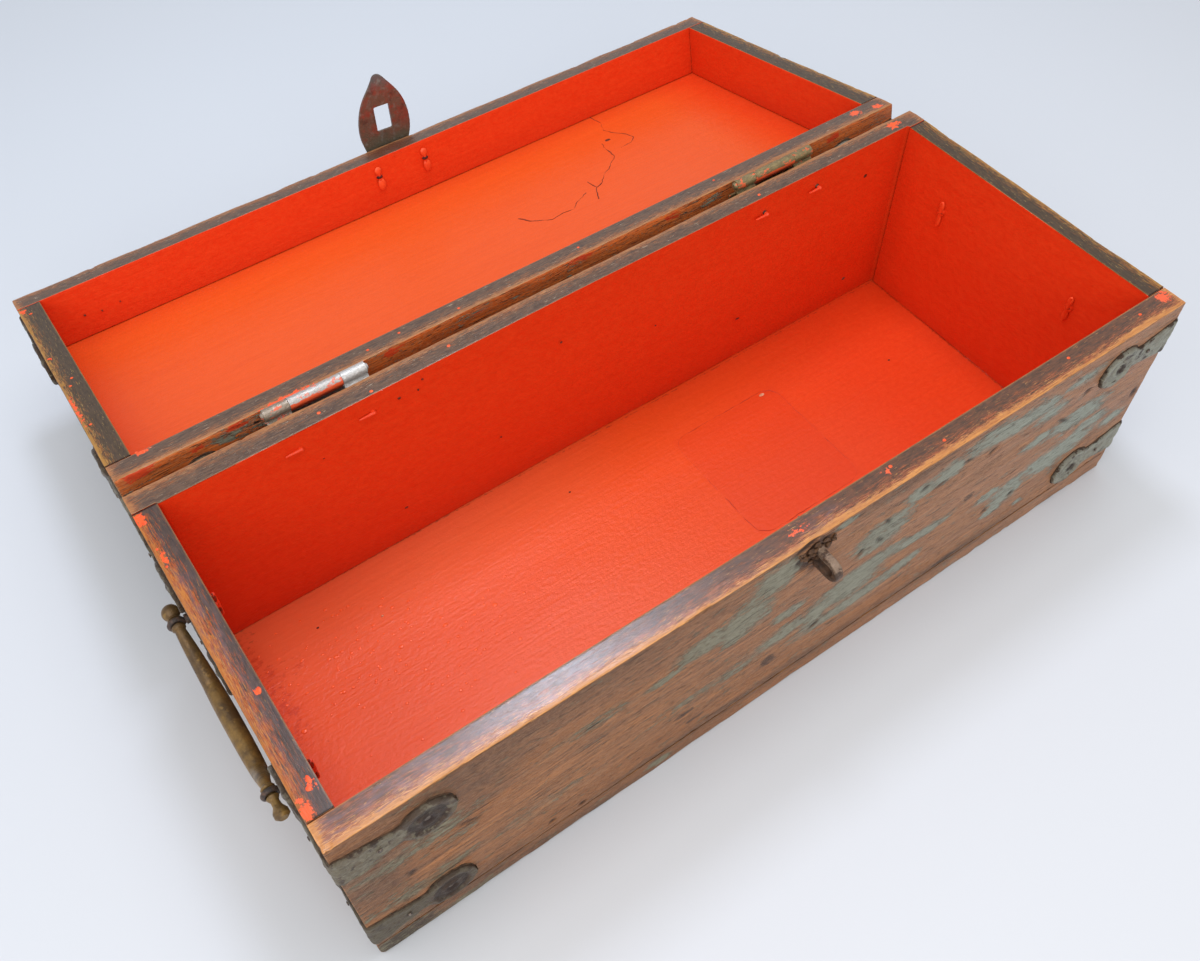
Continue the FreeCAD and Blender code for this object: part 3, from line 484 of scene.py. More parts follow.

# %% [markdown]
# ## Weathered outside
# Outside, a grey-green oil paint once covered the whole chest. Most has worn off, and what is left lies
# in long flakes along the grain with a thin film of it round them. Under it is a close-grained reddish
# hardwood, oily brown on the left and dusty pink on the right, with dark pores, fibres and stains. Beside
# the hinges the orange enamel has run over the edge in red spots, and where the lid's back board shows in
# the hinge gap its wood is painted bright orange as painted light.

# %% Outside finish
def outside_finish(name, woods, greens):
    """Hardwood under worn paint, given for the left, for the right and for where painted light brightens the
    hinge gap. A wood is three hex codes: its ground, its warm bands and its figure."""
    made, tree, shader = new_finish(name)
    grain = written(tree, "grain", "Vector")
    bent = swaying(tree, grain, 5.0, 110.0, 34.0)
    paint_left = written(tree, "paint_left")
    along = add(tree, "ShaderNodeSeparateXYZ", {0: add(tree, "ShaderNodeTexCoord", out="Object")}, out="X")
    to_right = add(tree, "ShaderNodeMapRange", {"Value": along, "From Min": -0.12, "From Max": 0.2})
    painted_gap_light = written(tree, "painted_gap_light")
    band = streaks(tree, bent, 200.0, 13.0, 0.38, 0.62, seed=20.0, detail=4.0)
    figure = streaks(tree, bent, 60.0, 3.2, 0.36, 0.64, seed=21.0, detail=7.0, rough=0.66)
    fibre = streaks(tree, bent, 20.0, 0.9, 0.36, 0.64, seed=22.0, detail=6.0, rough=0.7)
    pore = streaks(tree, bent, 5.0, 0.7, 0.58, 0.66, seed=23.0, detail=5.0)
    speckle = streaks(tree, grain, 2.4, 1.3, 0.42, 0.64, seed=28.0, detail=5.0, rough=0.7)
    check = streaks(tree, bent, 30.0, 0.8, 0.61, 0.65, seed=29.0, detail=5.0, rough=0.6)
    sides = []
    for ground, warm, dark in woods:
        sides.append(coats(tree, ground, (band, warm), (share(tree, figure, 0.85), dark)))
    # Where the lid's back board shows in the hinge gap, its wood is painted bright as painted light.
    wood = coats(tree, sides[0], (to_right, sides[1]), (painted_gap_light, sides[2]))
    oiled = streaks(tree, bent, 80.0, 7.0, 0.4, 0.6, seed=33.0, detail=5.0,
                    lift=share(tree, written(tree, "oiled"), 0.32, -0.2))
    wood = coats(tree, wood, (share(tree, oiled, 0.7), "#A4622C"),
                 (share(tree, written(tree, "dusky"), 0.65), "#4A3226"),
                 (share(tree, fibre, 0.6), "#543520"), (share(tree, speckle, 0.25), "#C09870"),
                 (share(tree, pore, 0.7), "#35221A"), (check, "#2A1A14"))
    broad = streaks(tree, bent, 22.0, 6.0, 0.0, 1.0, seed=25.0, detail=4.0)
    ragged = streaks(tree, bent, 7.0, 1.2, 0.0, 1.0, seed=26.0, detail=7.0, rough=0.75)
    torn = share(tree, ragged, 3.6, share(tree, paint_left, 0.9, -2.75))
    torn = share(tree, broad, 1.9, torn)
    flakes = add(tree, "ShaderNodeMapRange", {"Value": torn, "From Min": 0.43, "From Max": 0.48})
    rimmed = add(tree, "ShaderNodeMapRange", {"Value": torn, "From Min": 0.37, "From Max": 0.43})
    film = streaks(tree, bent, 30.0, 5.0, 0.4, 0.62, seed=30.0, detail=7.0, rough=0.66,
                   lift=share(tree, paint_left, 0.45, -0.17))
    green = coats(tree, greens[0], (to_right, greens[1]), (painted_gap_light, greens[2]))
    green = coats(tree, green, (share(tree, fibre, 0.5), "#66614F"), (share(tree, speckle, 0.3), "#A8A898"),
                  (share(tree, pore, 0.8), "#4E3C30"), (check, "#33231A"))
    worn_edge = add(tree, "ShaderNodeMapRange", {"Value": written(tree, "arris"), "From Min": 2.0 * MM,
                                                 "From Max": 0.3 * MM, "To Min": -0.4, "To Max": 0.0})
    rubbed = streaks(tree, bent, 16.0, 1.2, 0.46, 0.56, seed=31.0, detail=6.0, rough=0.66, lift=worn_edge)
    stain = streaks(tree, bent, 5.0, 2.0, 0.47, 0.56, seed=27.0, detail=8.0, rough=0.75,
                    lift=share(tree, written(tree, "dirty"), 0.4, -0.3))
    red = streaks(tree, bent, 9.0, 2.6, 0.5, 0.52, seed=32.0, detail=8.0, rough=0.7,
                  lift=share(tree, written(tree, "red_left"), 0.34, -0.26))
    top_colour = coats(tree, wood, (share(tree, film, 0.45), green), (share(tree, rimmed, 0.65), "#4A3426"),
                       (flakes, green), (red, "#C8401C"), (rubbed, "#B47840"),
                       (share(tree, stain, 0.8), "#3A2820"), (written(tree, "nick"), "#2A1A14"))
    relief = flakes
    for cut, depth in ((fibre, -0.7), (pore, -0.9), (check, -2.0)):
        relief = share(tree, cut, depth, relief)
    surface(tree, shader, top_colour, sheen(tree, 0.46, (flakes, 0.55)), relief, 0.22, specular=0.24)
    return made


outside_paint = outside_finish(
    "hardwood_with_worn_green_paint",
    # The third wood and the third green are painted bright: painted light in the hinge gap.
    woods=(("#B2754A", "#C68048", "#704830"), ("#C8906E", "#C48454", "#966A50"),
           ("#F06A20", "#FA8030", "#B04C16")),
    greens=("#82785E", "#9BA195", "#8C8C78"))
print("outside:", outside_paint.name)

# %% [markdown]
# ## Where paint is left
# The flakes on the real front lie in certain places, so the paint mask needs a bias as well as noise.
# Each board gets named marks on its points: soft ellipses, added as numbers, that lift the noise where
# paint is left, where dirt gathers, or where hands have rubbed. The sides that look much alike get seeded
# random ones of the same size. A nick is cut into the board itself: its points are pushed in and marked,
# so that the finish darkens them.

# %% Marks on points
PIN = Vector((0.0, 0.1305, 0.1668))
LID_OPEN = math.radians(-191.25)
TO_OPEN = Matrix.Translation(PIN) @ Matrix.Rotation(LID_OPEN, 4, "X") @ Matrix.Translation(-PIN)
REST = Matrix.Identity(4)
# The closed chest's outer faces and the thickness of its walls, in millimetres.
END_FACE, FRONT_FACE, BACK_FACE, WALL = 300.0, -122.0, 122.0, 15.0


def closed_points(mesh, swing):
    """A mesh's points as an array, in the frame of the closed chest, in millimetres."""
    found = np.empty(len(mesh.vertices) * 3, np.float32)
    mesh.vertices.foreach_get("co", found)
    turn = np.array(swing.inverted())
    return (found.reshape(-1, 3) @ turn[:3, :3].T + turn[:3, 3]) / MM


def write(mesh, name, value):
    """Writes one number on each point of a mesh, for its finish to read."""
    mesh.attributes.new(name, "FLOAT", "POINT").data.foreach_set("value", value.astype(np.float32))


def mark(piece, name, marks, swing):
    """Writes a number on each point: 1 in the middle of an ellipse, 0.5 at its edge, 0 half as far again.
    A mark is its centre and its three half sizes, in millimetres in the closed chest's frame, and if it
    has a seventh number, that is its strength."""
    points = closed_points(piece.data, swing)
    value = np.zeros(len(points))
    for x, y, z, half_x, half_y, half_z, *strength in marks:
        far = np.sqrt((((points - (x, y, z)) / (half_x, half_y, half_z)) ** 2).sum(1))
        value = np.maximum(value, np.clip(1.5 - far, 0.0, 1.0) * (strength or [1.0])[0])
    write(piece.data, name, value)


def nick(piece, nicks, face_y):
    """Cuts nicks into a board's outer face at y = face_y, and marks their points."""
    mesh = piece.data
    points = closed_points(mesh, REST)
    near_face = np.clip(1.0 - np.abs(points[:, 1] - face_y) / 2.0, 0.0, 1.0)
    dark = np.zeros(len(points))
    deep = np.zeros(len(points))
    for x, z, half_x, half_z, turn, depth in nicks:
        c, s = math.cos(math.radians(turn)), math.sin(math.radians(turn))
        dx, dz = points[:, 0] - x, points[:, 2] - z
        far = np.sqrt(((dx * c + dz * s) / half_x) ** 2 + ((dz * c - dx * s) / half_z) ** 2)
        cut = np.clip(1.6 - far, 0.0, 1.0) * near_face
        dark, deep = np.maximum(dark, cut), np.maximum(deep, cut * depth)
    points[:, 1] -= np.sign(face_y) * deep
    mesh.vertices.foreach_set("co", (points * MM).astype(np.float32).ravel())
    write(mesh, "nick", dark)


def scattered(seed, count, low, high, half_low, half_high):
    """Seeded random ellipses between two corners, with half sizes between two more."""
    draw = random.Random(seed)
    return [tuple(draw.uniform(a, b) for a, b in zip(low, high))
            + tuple(draw.uniform(a, b) for a, b in zip(half_low, half_high)) for _ in range(count)]


def on_front(marks, depth=30.0):
    """Ellipses given along and up the front face, as ellipses in space."""
    return [(x, FRONT_FACE, z, half_long, depth, half_high, *strength)
            for x, z, half_long, half_high, *strength in marks]


print("hinge pin at", [round(v / MM, 1) for v in PIN], "mm")

# %% Marks on the front board
# Along the board and up, then half length and half height, on the front face.
FRONT_PAINT = [
    (-262, 112, 34, 9, 0.55), (-262, 62, 30, 7, 0.5), (-106, 117, 13, 4), (-78, 127, 20, 9),
    (-50, 127, 18, 15), (-30, 150, 16, 14), (-56, 113, 9, 7), (-15, 99, 12, 5), (-16, 75, 19, 8),
    (18, 163, 8, 3), (54, 122, 20, 14), (80, 143, 13, 7), (101, 145, 13, 9), (136, 151, 22, 10),
    (166, 147, 26, 9), (192, 136, 14, 7), (216, 152, 16, 5), (228, 106, 28, 10), (190, 109, 14, 5),
    (222, 72, 34, 12), (180, 64, 16, 12), (157, 76, 12, 4), (170, 50, 9, 5), (278, 70, 13, 6),
    (250, 86, 16, 6), (48, 91, 30, 8), (92, 86, 26, 5), (34, 80, 26, 16), (40, 56, 40, 7),
    (86, 61, 16, 5), (10, 72, 12, 12), (200, 36, 4, 3), (-105, 9, 9, 4), (-290, 128, 12, 9, 0.5),
    (-285, 30, 16, 9, 0.6), (-240, 95, 16, 4, 0.5), (-150, 120, 30, 6, 0.4), (-190, 60, 30, 6, 0.35),
    (-60, 70, 40, 8, 0.45),
]
# Dark, oily stretches: along the rim, round the left straps, and along the bottom seam.
FRONT_DUSKY = [(-190, 162, 120, 14), (-285, 110, 20, 50), (-250, 18, 60, 10), (-40, 20, 160, 6),
               (-235, 140, 40, 22), (60, 163, 40, 6), (150, 20, 60, 7)]
FRONT_STAINS = [(-88, 54, 9, 4), (-80, 38, 10, 3), (-24, 50, 8, 8), (-36, 12, 14, 4), (-114, 10, 12, 3),
                (136, 22, 24, 3), (134, 94, 7, 4), (-2, 160, 7, 8), (-4, 146, 6, 9),
                (0, 17.9, 900, 1.5), (40, 165.2, 250, 1.0, 0.75)]
# Orange-brown, oiled stretches low on the front.
FRONT_OILED = [(-120, 34, 130, 14), (60, 30, 120, 9), (-230, 100, 60, 14, 0.8), (-180, 128, 60, 10, 0.7)]
# Nicks: along, up, half length, half height, turn in degrees, depth.
FRONT_NICKS = [
    (-231, 102, 7, 1.3, -28, 0.7), (-267, 85, 2.2, 2.0, 0, 0.8), (-183, 28, 2.0, 1.8, 0, 0.8),
    (-162, 25, 2.4, 1.6, 0, 0.8), (38, 116, 2.6, 1.5, 30, 0.9), (53, 116, 4.5, 1.4, -50, 0.9),
    (56, 132, 4.0, 1.4, -55, 0.9), (82, 144, 3.0, 1.6, 10, 0.8), (141, 136, 3.5, 1.5, 20, 0.8),
    (212, 114, 8.0, 1.3, -38, 0.7), (226, 133, 3.0, 2.2, 0, 0.9), (161, 57, 2.4, 1.8, 0, 0.8),
    (186, 57, 2.4, 2.0, 0, 0.8), (294, 87, 3.0, 4.0, 0, 0.9), (-12, 165, 9, 2.4, 20, 0.9),
    (-8, 157, 6.0, 3.0, 60, 1.0), (4, 158, 4.0, 4.5, 0, 1.0), (-9, 146, 4.0, 5.0, 0, 1.0),
    (-1, 137, 5.0, 2.4, 0, 0.8), (-15, 152, 3.0, 3.0, 0, 0.8),
    (96, 136, 5.0, 1.2, 5, 0.6), (118, 143, 4.0, 1.2, -20, 0.6), (12, 58, 4.0, 1.5, 12, 0.7),
]
print("marks on the front:", len(FRONT_PAINT), "of paint,", len(FRONT_NICKS), "nicks")

# %% [markdown]
# ## Making the ten planks
# A plank is cut in the frame of the closed chest: one direction points into the chest and another
# towards its rim, and the third runs along the grain. The tree builds it round the origin, and the
# finished mesh is then moved to its place. Lid boards are also swung open round the hinge pin. The front
# board gets rows twice as close, because its nicks are cut into its points.

# %% Planks
DOWN, UP = Vector((0, 0, -1)), Vector((0, 0, 1))
LEFT, RIGHT = Vector((-1, 0, 0)), Vector((1, 0, 0))
NEAR, FAR = Vector((0, -1, 0)), Vector((0, 1, 0))
# Node: body, into the chest, towards the rim, arris wear in mm, wear on the ends, finish of the rim.
PLANKS = {
    "bottom_board": ("base", UP, FAR, 3.0, 1.0, outside_paint),
    "front_board": ("base", FAR, UP, 1.6, 0.5, front_rim),
    "back_board": ("base", NEAR, UP, 1.4, 0.5, hinge_rim),
    "left_end_board": ("base", RIGHT, UP, 1.6, 0.0, end_rim),
    "right_end_board": ("base", LEFT, UP, 1.6, 0.0, lid_end_rim),
    "lid_top_board": ("lid", DOWN, FAR, 3.0, 1.0, outside_paint),
    "lid_front_board": ("lid", FAR, DOWN, 1.4, 0.5, hinge_rim),
    "lid_back_board": ("lid", NEAR, DOWN, 1.4, 0.5, hinge_rim),
    "lid_left_board": ("lid", RIGHT, DOWN, 1.4, 0.0, lid_end_rim),
    "lid_right_board": ("lid", LEFT, DOWN, 1.4, 0.0, lid_end_rim),
}
# Rows of points: how far apart they are, closer on the front, how many through the thickness and at least
# how many across. The outside of a board keeps its finish under the walls that stand on it.
STEP, FINE_STEP = 3.0 * MM, 1.5 * MM
THICK_ROWS, LEAST_ROWS = 11, 12
WALL_SHADOW = 8.0 * MM


def swing_of(name):
    """How far a piece is swung open: a lid piece by the lid's whole turn, any other not at all."""
    return TO_OPEN if name.startswith("lid_") else REST


def evaluate(source, group, ids, settings, name):
    """Runs a tree on a mesh with its inputs set, and gives the result as a plain mesh."""
    maker = bpy.data.objects.new(name + "_maker", source)
    bpy.context.scene.collection.objects.link(maker)
    modifier = maker.modifiers.new(name, "NODES")
    modifier.node_group = group
    for label, value in settings.items():
        modifier[ids[label]] = value
    made = bpy.data.meshes.new_from_object(maker.evaluated_get(bpy.context.evaluated_depsgraph_get()))
    bpy.data.objects.remove(maker)
    bpy.data.meshes.remove(source)
    made.name = name
    return made


def place(mesh, body, slot, replaced=()):
    """Makes a piece of a mesh, on its body, standing for the nodes that it hides. The slot is not used."""
    piece = bpy.data.objects.new(mesh.name, mesh)
    bpy.context.scene.collection.objects.link(piece)
    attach(piece, body)
    if replaced:
        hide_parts(*replaced)
    return piece


def plank(name, order, body, into, rim, wear, end_wear, rim_coat):
    """One board, made by the tree, put in its place, and standing for its node."""
    swing = swing_of(name)
    corners = closed_points(nodes[name].data, swing) * MM
    low, high = Vector(corners.min(0)), Vector(corners.max(0))
    turn = Matrix((into.cross(rim), into, rim)).transposed()
    size = Vector([abs(v) for v in turn.transposed() @ (high - low)])
    step = FINE_STEP if name == "front_board" else STEP
    settings = {
        "Size": size, "Along": round(size.x / step), "Thick": THICK_ROWS,
        "High": max(LEAST_ROWS, round(size.z / step)),
        "Arris": 0.45 * MM, "Wear": wear * MM, "End wear": end_wear,
        "Covered": WALL_SHADOW if rim_coat is outside_paint else 0.0,
        "Grain shift": Vector((1.7 * order, 0.0, 0.9 * order)),
        "Outside": outside_paint, "Inside": enamel, "Rim": rim_coat,
    }
    mesh = evaluate(bpy.data.meshes.new("seed"), board_tree, board_ids, settings, "worn_" + name)
    mesh.transform(swing @ Matrix.Translation((low + high) / 2) @ turn.to_4x4())
    return place(mesh, body, body + "_wood", [name])


boards = {}
for order, (name, facts) in enumerate(PLANKS.items()):
    boards[name] = plank(name, order, *facts)
print("planks:", {name: len(piece.data.polygons) for name, piece in boards.items()})

# %% [markdown]
# The back board was planed thinner towards the right, which shows on its rim, so its inner points between
# the end boards are shifted a little. After that the marks are written, since they are given in the
# chest's own frame, and so is each point's distance from the nearest inside corner, where dirt settles
# and where the enamel is painted darker as shade.

# %% Shape and corners of the planks
# The inside faces in millimetres, closed: the ends, the front, the back and the level one.
INSIDE = {"base": (285.0, -105.0, 107.0, 18.0), "lid": (284.0, -104.0, 106.0, 209.4)}


def taper(piece, thicker_left, thinner_right):
    """Moves a board's inner points towards -y at its left end and towards +y at its right end."""
    points = closed_points(piece.data, REST)
    inner = np.clip((BACK_FACE - points[:, 1]) / WALL, 0.0, 1.0) * (np.abs(points[:, 0]) < INSIDE["base"][0])
    to_right = np.clip((points[:, 0] + END_FACE) / END_FACE, 0.0, 1.0)
    points[:, 1] += inner * (-thicker_left + (thicker_left + thinner_right) * to_right)
    piece.data.vertices.foreach_set("co", (points * MM).astype(np.float32).ravel())


def inside_corner(name, body):
    """Writes each point's distance from the nearest line where two inside faces meet."""
    end, front, back, level = INSIDE[body]
    points = closed_points(boards[name].data, swing_of(name))
    gaps = np.stack([end - np.abs(points[:, 0]), np.minimum(points[:, 1] - front, back - points[:, 1]),
                     points[:, 2] - level], 1)
    write(boards[name].data, "corner", np.sort(np.abs(gaps), 1)[:, 1] * MM)


taper(boards["back_board"], 1.6, 1.8)
nick(boards["front_board"], FRONT_NICKS, FRONT_FACE)
for name, (body, *_) in PLANKS.items():
    inside_corner(name, body)
print("inside of the base:", 2 * INSIDE["base"][0], "mm long")

# %% The second coat, the floor patch and the painted light in the hinge gap
# How far right the second coat reaches, over how far it fades, and what is left of it there. On the lid
# the fade is painted shade from its right wall; on the floor the enamel is simply darker towards the right.
for name, end, fades_in, least in (("lid_top_board", 288.0, 60.0, 0.3), ("bottom_board", 260.0, 300.0, 0.2)):
    points = closed_points(boards[name].data, REST)
    write(boards[name].data, "panel", np.clip((end - points[:, 0]) / fades_in, least, 1.0))
PATCH_CENTRE, PATCH_HALF = (96.0, 16.0), (46.0, 50.0)
outside_patch = (np.abs(points[:, :2] - PATCH_CENTRE) - PATCH_HALF).max(1)
write(boards["bottom_board"].data, "patched", np.clip(1.0 - outside_patch / 2.0, 0.0, 1.0))
# The painted light in the hinge gap ends where its height on the lid's back board is 196 mm, and stays off
# the sawn ends.
points = closed_points(boards["lid_back_board"].data, TO_OPEN)
write(boards["lid_back_board"].data, "painted_gap_light",
      np.clip((196.0 - points[:, 2]) / 14.0, 0.0, 1.0) * (np.abs(points[:, 0]) < END_FACE - 1.0))
print("patch:", int((outside_patch < 0.0).sum()), "points")

# %% Where green paint is left
PAINT_LEFT = {
    "front_board": on_front(FRONT_PAINT),
    "bottom_board": (on_front(FRONT_PAINT + [(-284, 9, 22, 16, 0.72), (-240, 4, 20, 5, 0.5)])
                     + scattered(5, 14, (-280, 122, 2), (280, 122, 16), (12, 20, 3, 0.5), (60, 40, 6, 1.0))),
    "back_board": scattered(6, 44, (-290, 122, 25), (290, 122, 165), (12, 20, 2.5, 0.45),
                            (85, 30, 9, 1.05)),
    "lid_back_board": ([(-228, 122, 175, 18, 9, 4, 0.6), (-60, 122, 173, 10, 9, 3, 0.35),
                        (15, 122, 174, 8, 9, 3, 0.35), (130, 122, 175, 8, 9, 3, 0.35)]
                       + scattered(9, 10, (-280, 122, 195), (280, 122, 214), (14, 8, 5), (36, 12, 9))),
}
for name, seed, x in (("left_end_board", 7, -300), ("right_end_board", 8, 300)):
    PAINT_LEFT[name] = scattered(seed, 26, (x, -100, 25), (x, 100, 165), (30, 8, 3, 0.45),
                                 (40, 50, 9, 1.05))
for name, seed, count, low, high in (
        ("lid_front_board", 10, 18, (-290, -120, 172), (290, -120, 208)),
        ("lid_top_board", 11, 46, (-290, -115, 225), (290, 118, 225)),
        ("lid_left_board", 12, 18, (-300, -100, 172), (-300, 100, 208)),
        ("lid_right_board", 13, 18, (300, -100, 172), (300, 100, 208))):
    PAINT_LEFT[name] = scattered(seed, count, low, high, (12, 4, 3, 0.45), (95, 14, 9, 1.05))
for name, marks in PAINT_LEFT.items():
    mark(boards[name], "paint_left", marks, swing_of(name))
print("green paint:", sum(len(marks) for marks in PAINT_LEFT.values()), "marks")

# %% Dirt, rubs, splashes and painted glare
WEAR_MARKS = {
    ("front_board", "dusky"): on_front(FRONT_DUSKY, 10.0),
    ("front_board", "oiled"): on_front(FRONT_OILED, 10.0),
    ("front_board", "dirty"): on_front(FRONT_STAINS, 10.0),
    ("front_board", "rubbed"): [(-270, -112, 168, 60, 20, 9), (-180, -116, 168, 60, 9, 9, 0.7),
                                (5, -118, 168, 14, 8, 9)],
    ("front_board", "splashed"): [(56, -110, 168, 4, 5, 9, 0.8), (292, -110, 168, 7, 6, 9),
                                  (-10, -112, 168, 12, 5, 9, 0.72)],
    ("bottom_board", "dusky"): on_front(FRONT_DUSKY + [(-200, 4, 110, 8), (-284, 9, 24, 14)], 10.0),
    ("bottom_board", "oiled"): on_front([(-60, 8, 200, 12)], 10.0),
    ("bottom_board", "scuffed"): [(-280, 50, 18, 14, 60, 9), (-262, 62, 18, 16, 20, 9, 0.8),
                                  (-268, 0, 18, 12, 30, 9, 0.7)],
    # Painted glare: a pale pink sheen over the back left of the floor.
    ("bottom_board", "chalked"): [(-205, 98, 18, 155, 55, 9), (-150, -60, 18, 150, 45, 9, 0.4),
                                  (-240, 20, 18, 60, 60, 9, 0.35)],
    ("bottom_board", "dirty"): [(-282, 98, 18, 16, 10, 9), (-284, 20, 18, 4, 80, 9),
                                (-282, -100, 18, 10, 14, 9), (-282, -122, 9, 26, 30, 14, 0.9)],
    ("back_board", "splashed"): [(278, 116, 168, 7, 5, 9)],
    ("left_end_board", "rubbed"): [(-296, 15, 168, 8, 60, 9), (-294, -40, 168, 6, 40, 9, 0.7)],
    ("left_end_board", "splashed"): [(-297, -98, 168, 4, 8, 9), (-289, -88, 168, 3, 5, 9),
                                     (-289, -30, 168, 2, 4, 9), (-296, 70, 168, 2, 8, 9),
                                     (-297, 101, 168, 4, 6, 9)],
    ("lid_back_board", "red_left"): [
        (-285, 122, 171, 14, 9, 4), (-250, 122, 174, 8, 9, 3), (-225, 122, 171, 9, 9, 4),
        (-120, 122, 172, 12, 9, 3), (-60, 122, 175, 8, 9, 3), (20, 122, 171, 14, 9, 3),
        (95, 122, 173, 10, 9, 3), (240, 122, 172, 12, 9, 3)],
    ("lid_back_board", "splashed"): [(-277, 107, 168, 6, 4, 9), (-192, 121, 168, 22, 3, 9),
                                     (272, 112, 168, 6, 5, 9), (290, 116, 168, 5, 5, 9)],
    ("lid_front_board", "dirty"): [(-4, -112, 168, 17, 14, 9)],
    ("lid_left_board", "splashed"): [(-297, -98, 168, 3, 4, 9), (-294, -92, 168, 2, 3, 9),
                                     (-297, -28, 168, 2, 3, 9), (-298, 40, 168, 2, 24, 9)],
}
for (name, kind), marks in WEAR_MARKS.items():
    mark(boards[name], kind, marks, swing_of(name))
print("kinds of wear:", sorted({kind for name, kind in WEAR_MARKS}))

# %% [markdown]
# ## Forged straps
# A smith drew each strap out of a flat bar: a wide band bent round the corner, a neck on each side, and a
# round leaf beaten out for the nail. All twelve follow one rule, so one tree forges them. A cylinder gives
# the rows of points: its height becomes the way along the strap, and its turn becomes the way round the
# flat section. The outline wanders a little, hammer marks dent the face, and the metal rises in a lip
# round the nail, which is sunk on the long sides. A thin bed of rust and dirt creeps out under the edges.

# %% The forged strap tree
# One closed strap: its corner at the origin, one leg along +x and the other along +y.
STRAP_INPUTS = {name: "Float" for name in (
    "Reach", "Corner half", "Neck half", "Shoulder", "Leaf radius", "Nail at", "Thick", "Grow", "Wander",
    "Sunk leg", "Seed")}
BEND_R = 2.0 * MM
BURIED = 0.6 * MM
tree, _, give = new_tree("forged_strap_shape", STRAP_INPUTS, "Strap")
strap_shape = tree
bar = add(tree, "GeometryNodeMeshCylinder", {"Vertices": 56, "Side Segments": 160, "Fill Segments": 1,
                                             "Radius": 1.0, "Depth": 2.0})
spot = add(tree, "ShaderNodeSeparateXYZ", {0: add(tree, "GeometryNodeInputPosition")}).node.outputs
# Round the section: side runs from 1 to -1 over the face, and back again underneath.
angle = add(tree, "ShaderNodeMath", {0: spot[1], 1: spot[0]}, operation="ARCTAN2")
upper = add(tree, "ShaderNodeMath", {0: angle, 1: 0.001}, operation="GREATER_THAN")
turned = add(tree, "ShaderNodeMath", {0: angle}, operation="ABSOLUTE")
side = share(tree, turned, -2 / math.pi, 1.0)
# Along the strap: rows crowd at the bend and at the tip.
leg = add(tree, "ShaderNodeMath", {0: spot[2]}, operation="SIGN")
part = add(tree, "ShaderNodeMath", {0: spot[2]}, operation="ABSOLUTE")
way = add(tree, "ShaderNodeMapRange", {"Value": part, "To Max": give["Reach"]},
          interpolation_type="SMOOTHSTEP")
arc = BEND_R * math.pi / 4
lean = add(tree, "ShaderNodeMapRange", {"Value": way, "From Max": arc, "To Min": math.pi / 4,
                                        "To Max": 0.0})
run = add(tree, "ShaderNodeMath", {0: way, 1: arc}, operation="SUBTRACT", use_clamp=True)
along = add(tree, "ShaderNodeMath", {0: run, 1: BEND_R}, operation="ADD")
print("rows of the strap:", len(tree.nodes), "nodes")

# %% Outline of a strap
# Half width: a tapering band until the nail, joined softly to the round leaf.
band = add(tree, "ShaderNodeMapRange", {"Value": along, "From Max": give["Shoulder"],
                                        "To Min": give["Corner half"], "To Max": give["Neck half"]})
before = add(tree, "ShaderNodeMath", {0: along, 1: give["Nail at"]}, operation="LESS_THAN")
band = share(tree, band, before)
off = add(tree, "ShaderNodeMath", {0: along, 1: give["Nail at"]}, operation="SUBTRACT")
off_square = add(tree, "ShaderNodeMath", {0: off, 1: off}, operation="MULTIPLY")
round_square = add(tree, "ShaderNodeMath", {0: give["Leaf radius"], 1: 2.0}, operation="POWER")
chord = add(tree, "ShaderNodeMath", {0: round_square, 1: off_square}, operation="SUBTRACT")
chord = add(tree, "ShaderNodeMath", {0: chord, 1: 0.0}, operation="MAXIMUM")
chord = add(tree, "ShaderNodeMath", {0: chord}, operation="SQRT")
half = add(tree, "ShaderNodeMath", {0: band, 1: chord, 2: 3.0 * MM}, operation="SMOOTH_MAX")
signed = add(tree, "ShaderNodeMath", {0: way, 1: leg}, operation="MULTIPLY")
edge_side = add(tree, "ShaderNodeMath", {0: side}, operation="SIGN")
walk = add(tree, "ShaderNodeCombineXYZ", {0: signed, 1: share(tree, edge_side, 0.03)})
wobble = add(tree, "ShaderNodeTexNoise", {"Vector": walk, "W": give["Seed"], "Scale": 110.0,
                                          "Detail": 3.0}, noise_dimensions="4D")
half = share(tree, share(tree, wobble, 2.0, -1.0), give["Wander"], half)
half = add(tree, "ShaderNodeMath", {0: half, 1: give["Grow"]}, operation="ADD")
half = add(tree, "ShaderNodeMath", {0: half, 1: 0.5 * MM}, operation="MAXIMUM")
across = add(tree, "ShaderNodeMath", {0: side, 1: half}, operation="MULTIPLY")
print("with its outline:", len(tree.nodes), "nodes")

# %% Face of a strap
# Height: rounded edges, hammer marks, a lip round the nail and the leaf, a seat for a sunk nail.
rim = add(tree, "ShaderNodeMath", {0: add(tree, "ShaderNodeMath", {0: side}, operation="ABSOLUTE"),
                                   1: 12.0}, operation="POWER")
crown = add(tree, "ShaderNodeMath", {0: share(tree, rim, -1.0, 1.0)}, operation="SQRT")
face = add(tree, "ShaderNodeCombineXYZ", {0: signed, 1: across})
hammer = add(tree, "ShaderNodeTexNoise", {"Vector": face, "W": give["Seed"], "Scale": 150.0,
                                          "Detail": 2.0}, noise_dimensions="4D")
gap = add(tree, "ShaderNodeCombineXYZ", {0: off, 1: across})
gap = add(tree, "ShaderNodeVectorMath", {0: gap}, out="Value", operation="LENGTH")
lip = add(tree, "ShaderNodeMapRange", {"Value": gap, "From Min": 7.5 * MM, "From Max": 4.4 * MM,
                                       "To Max": 0.6}, interpolation_type="SMOOTHSTEP")
swell = share(tree, hammer, 1.2, 0.25)
swell = add(tree, "ShaderNodeMath", {0: swell, 1: lip}, operation="ADD")
ring = add(tree, "ShaderNodeMapRange", {"Value": gap, "From Min": 10.5 * MM, "From Max": 12.5 * MM,
                                        "To Max": 0.7}, interpolation_type="SMOOTHSTEP")
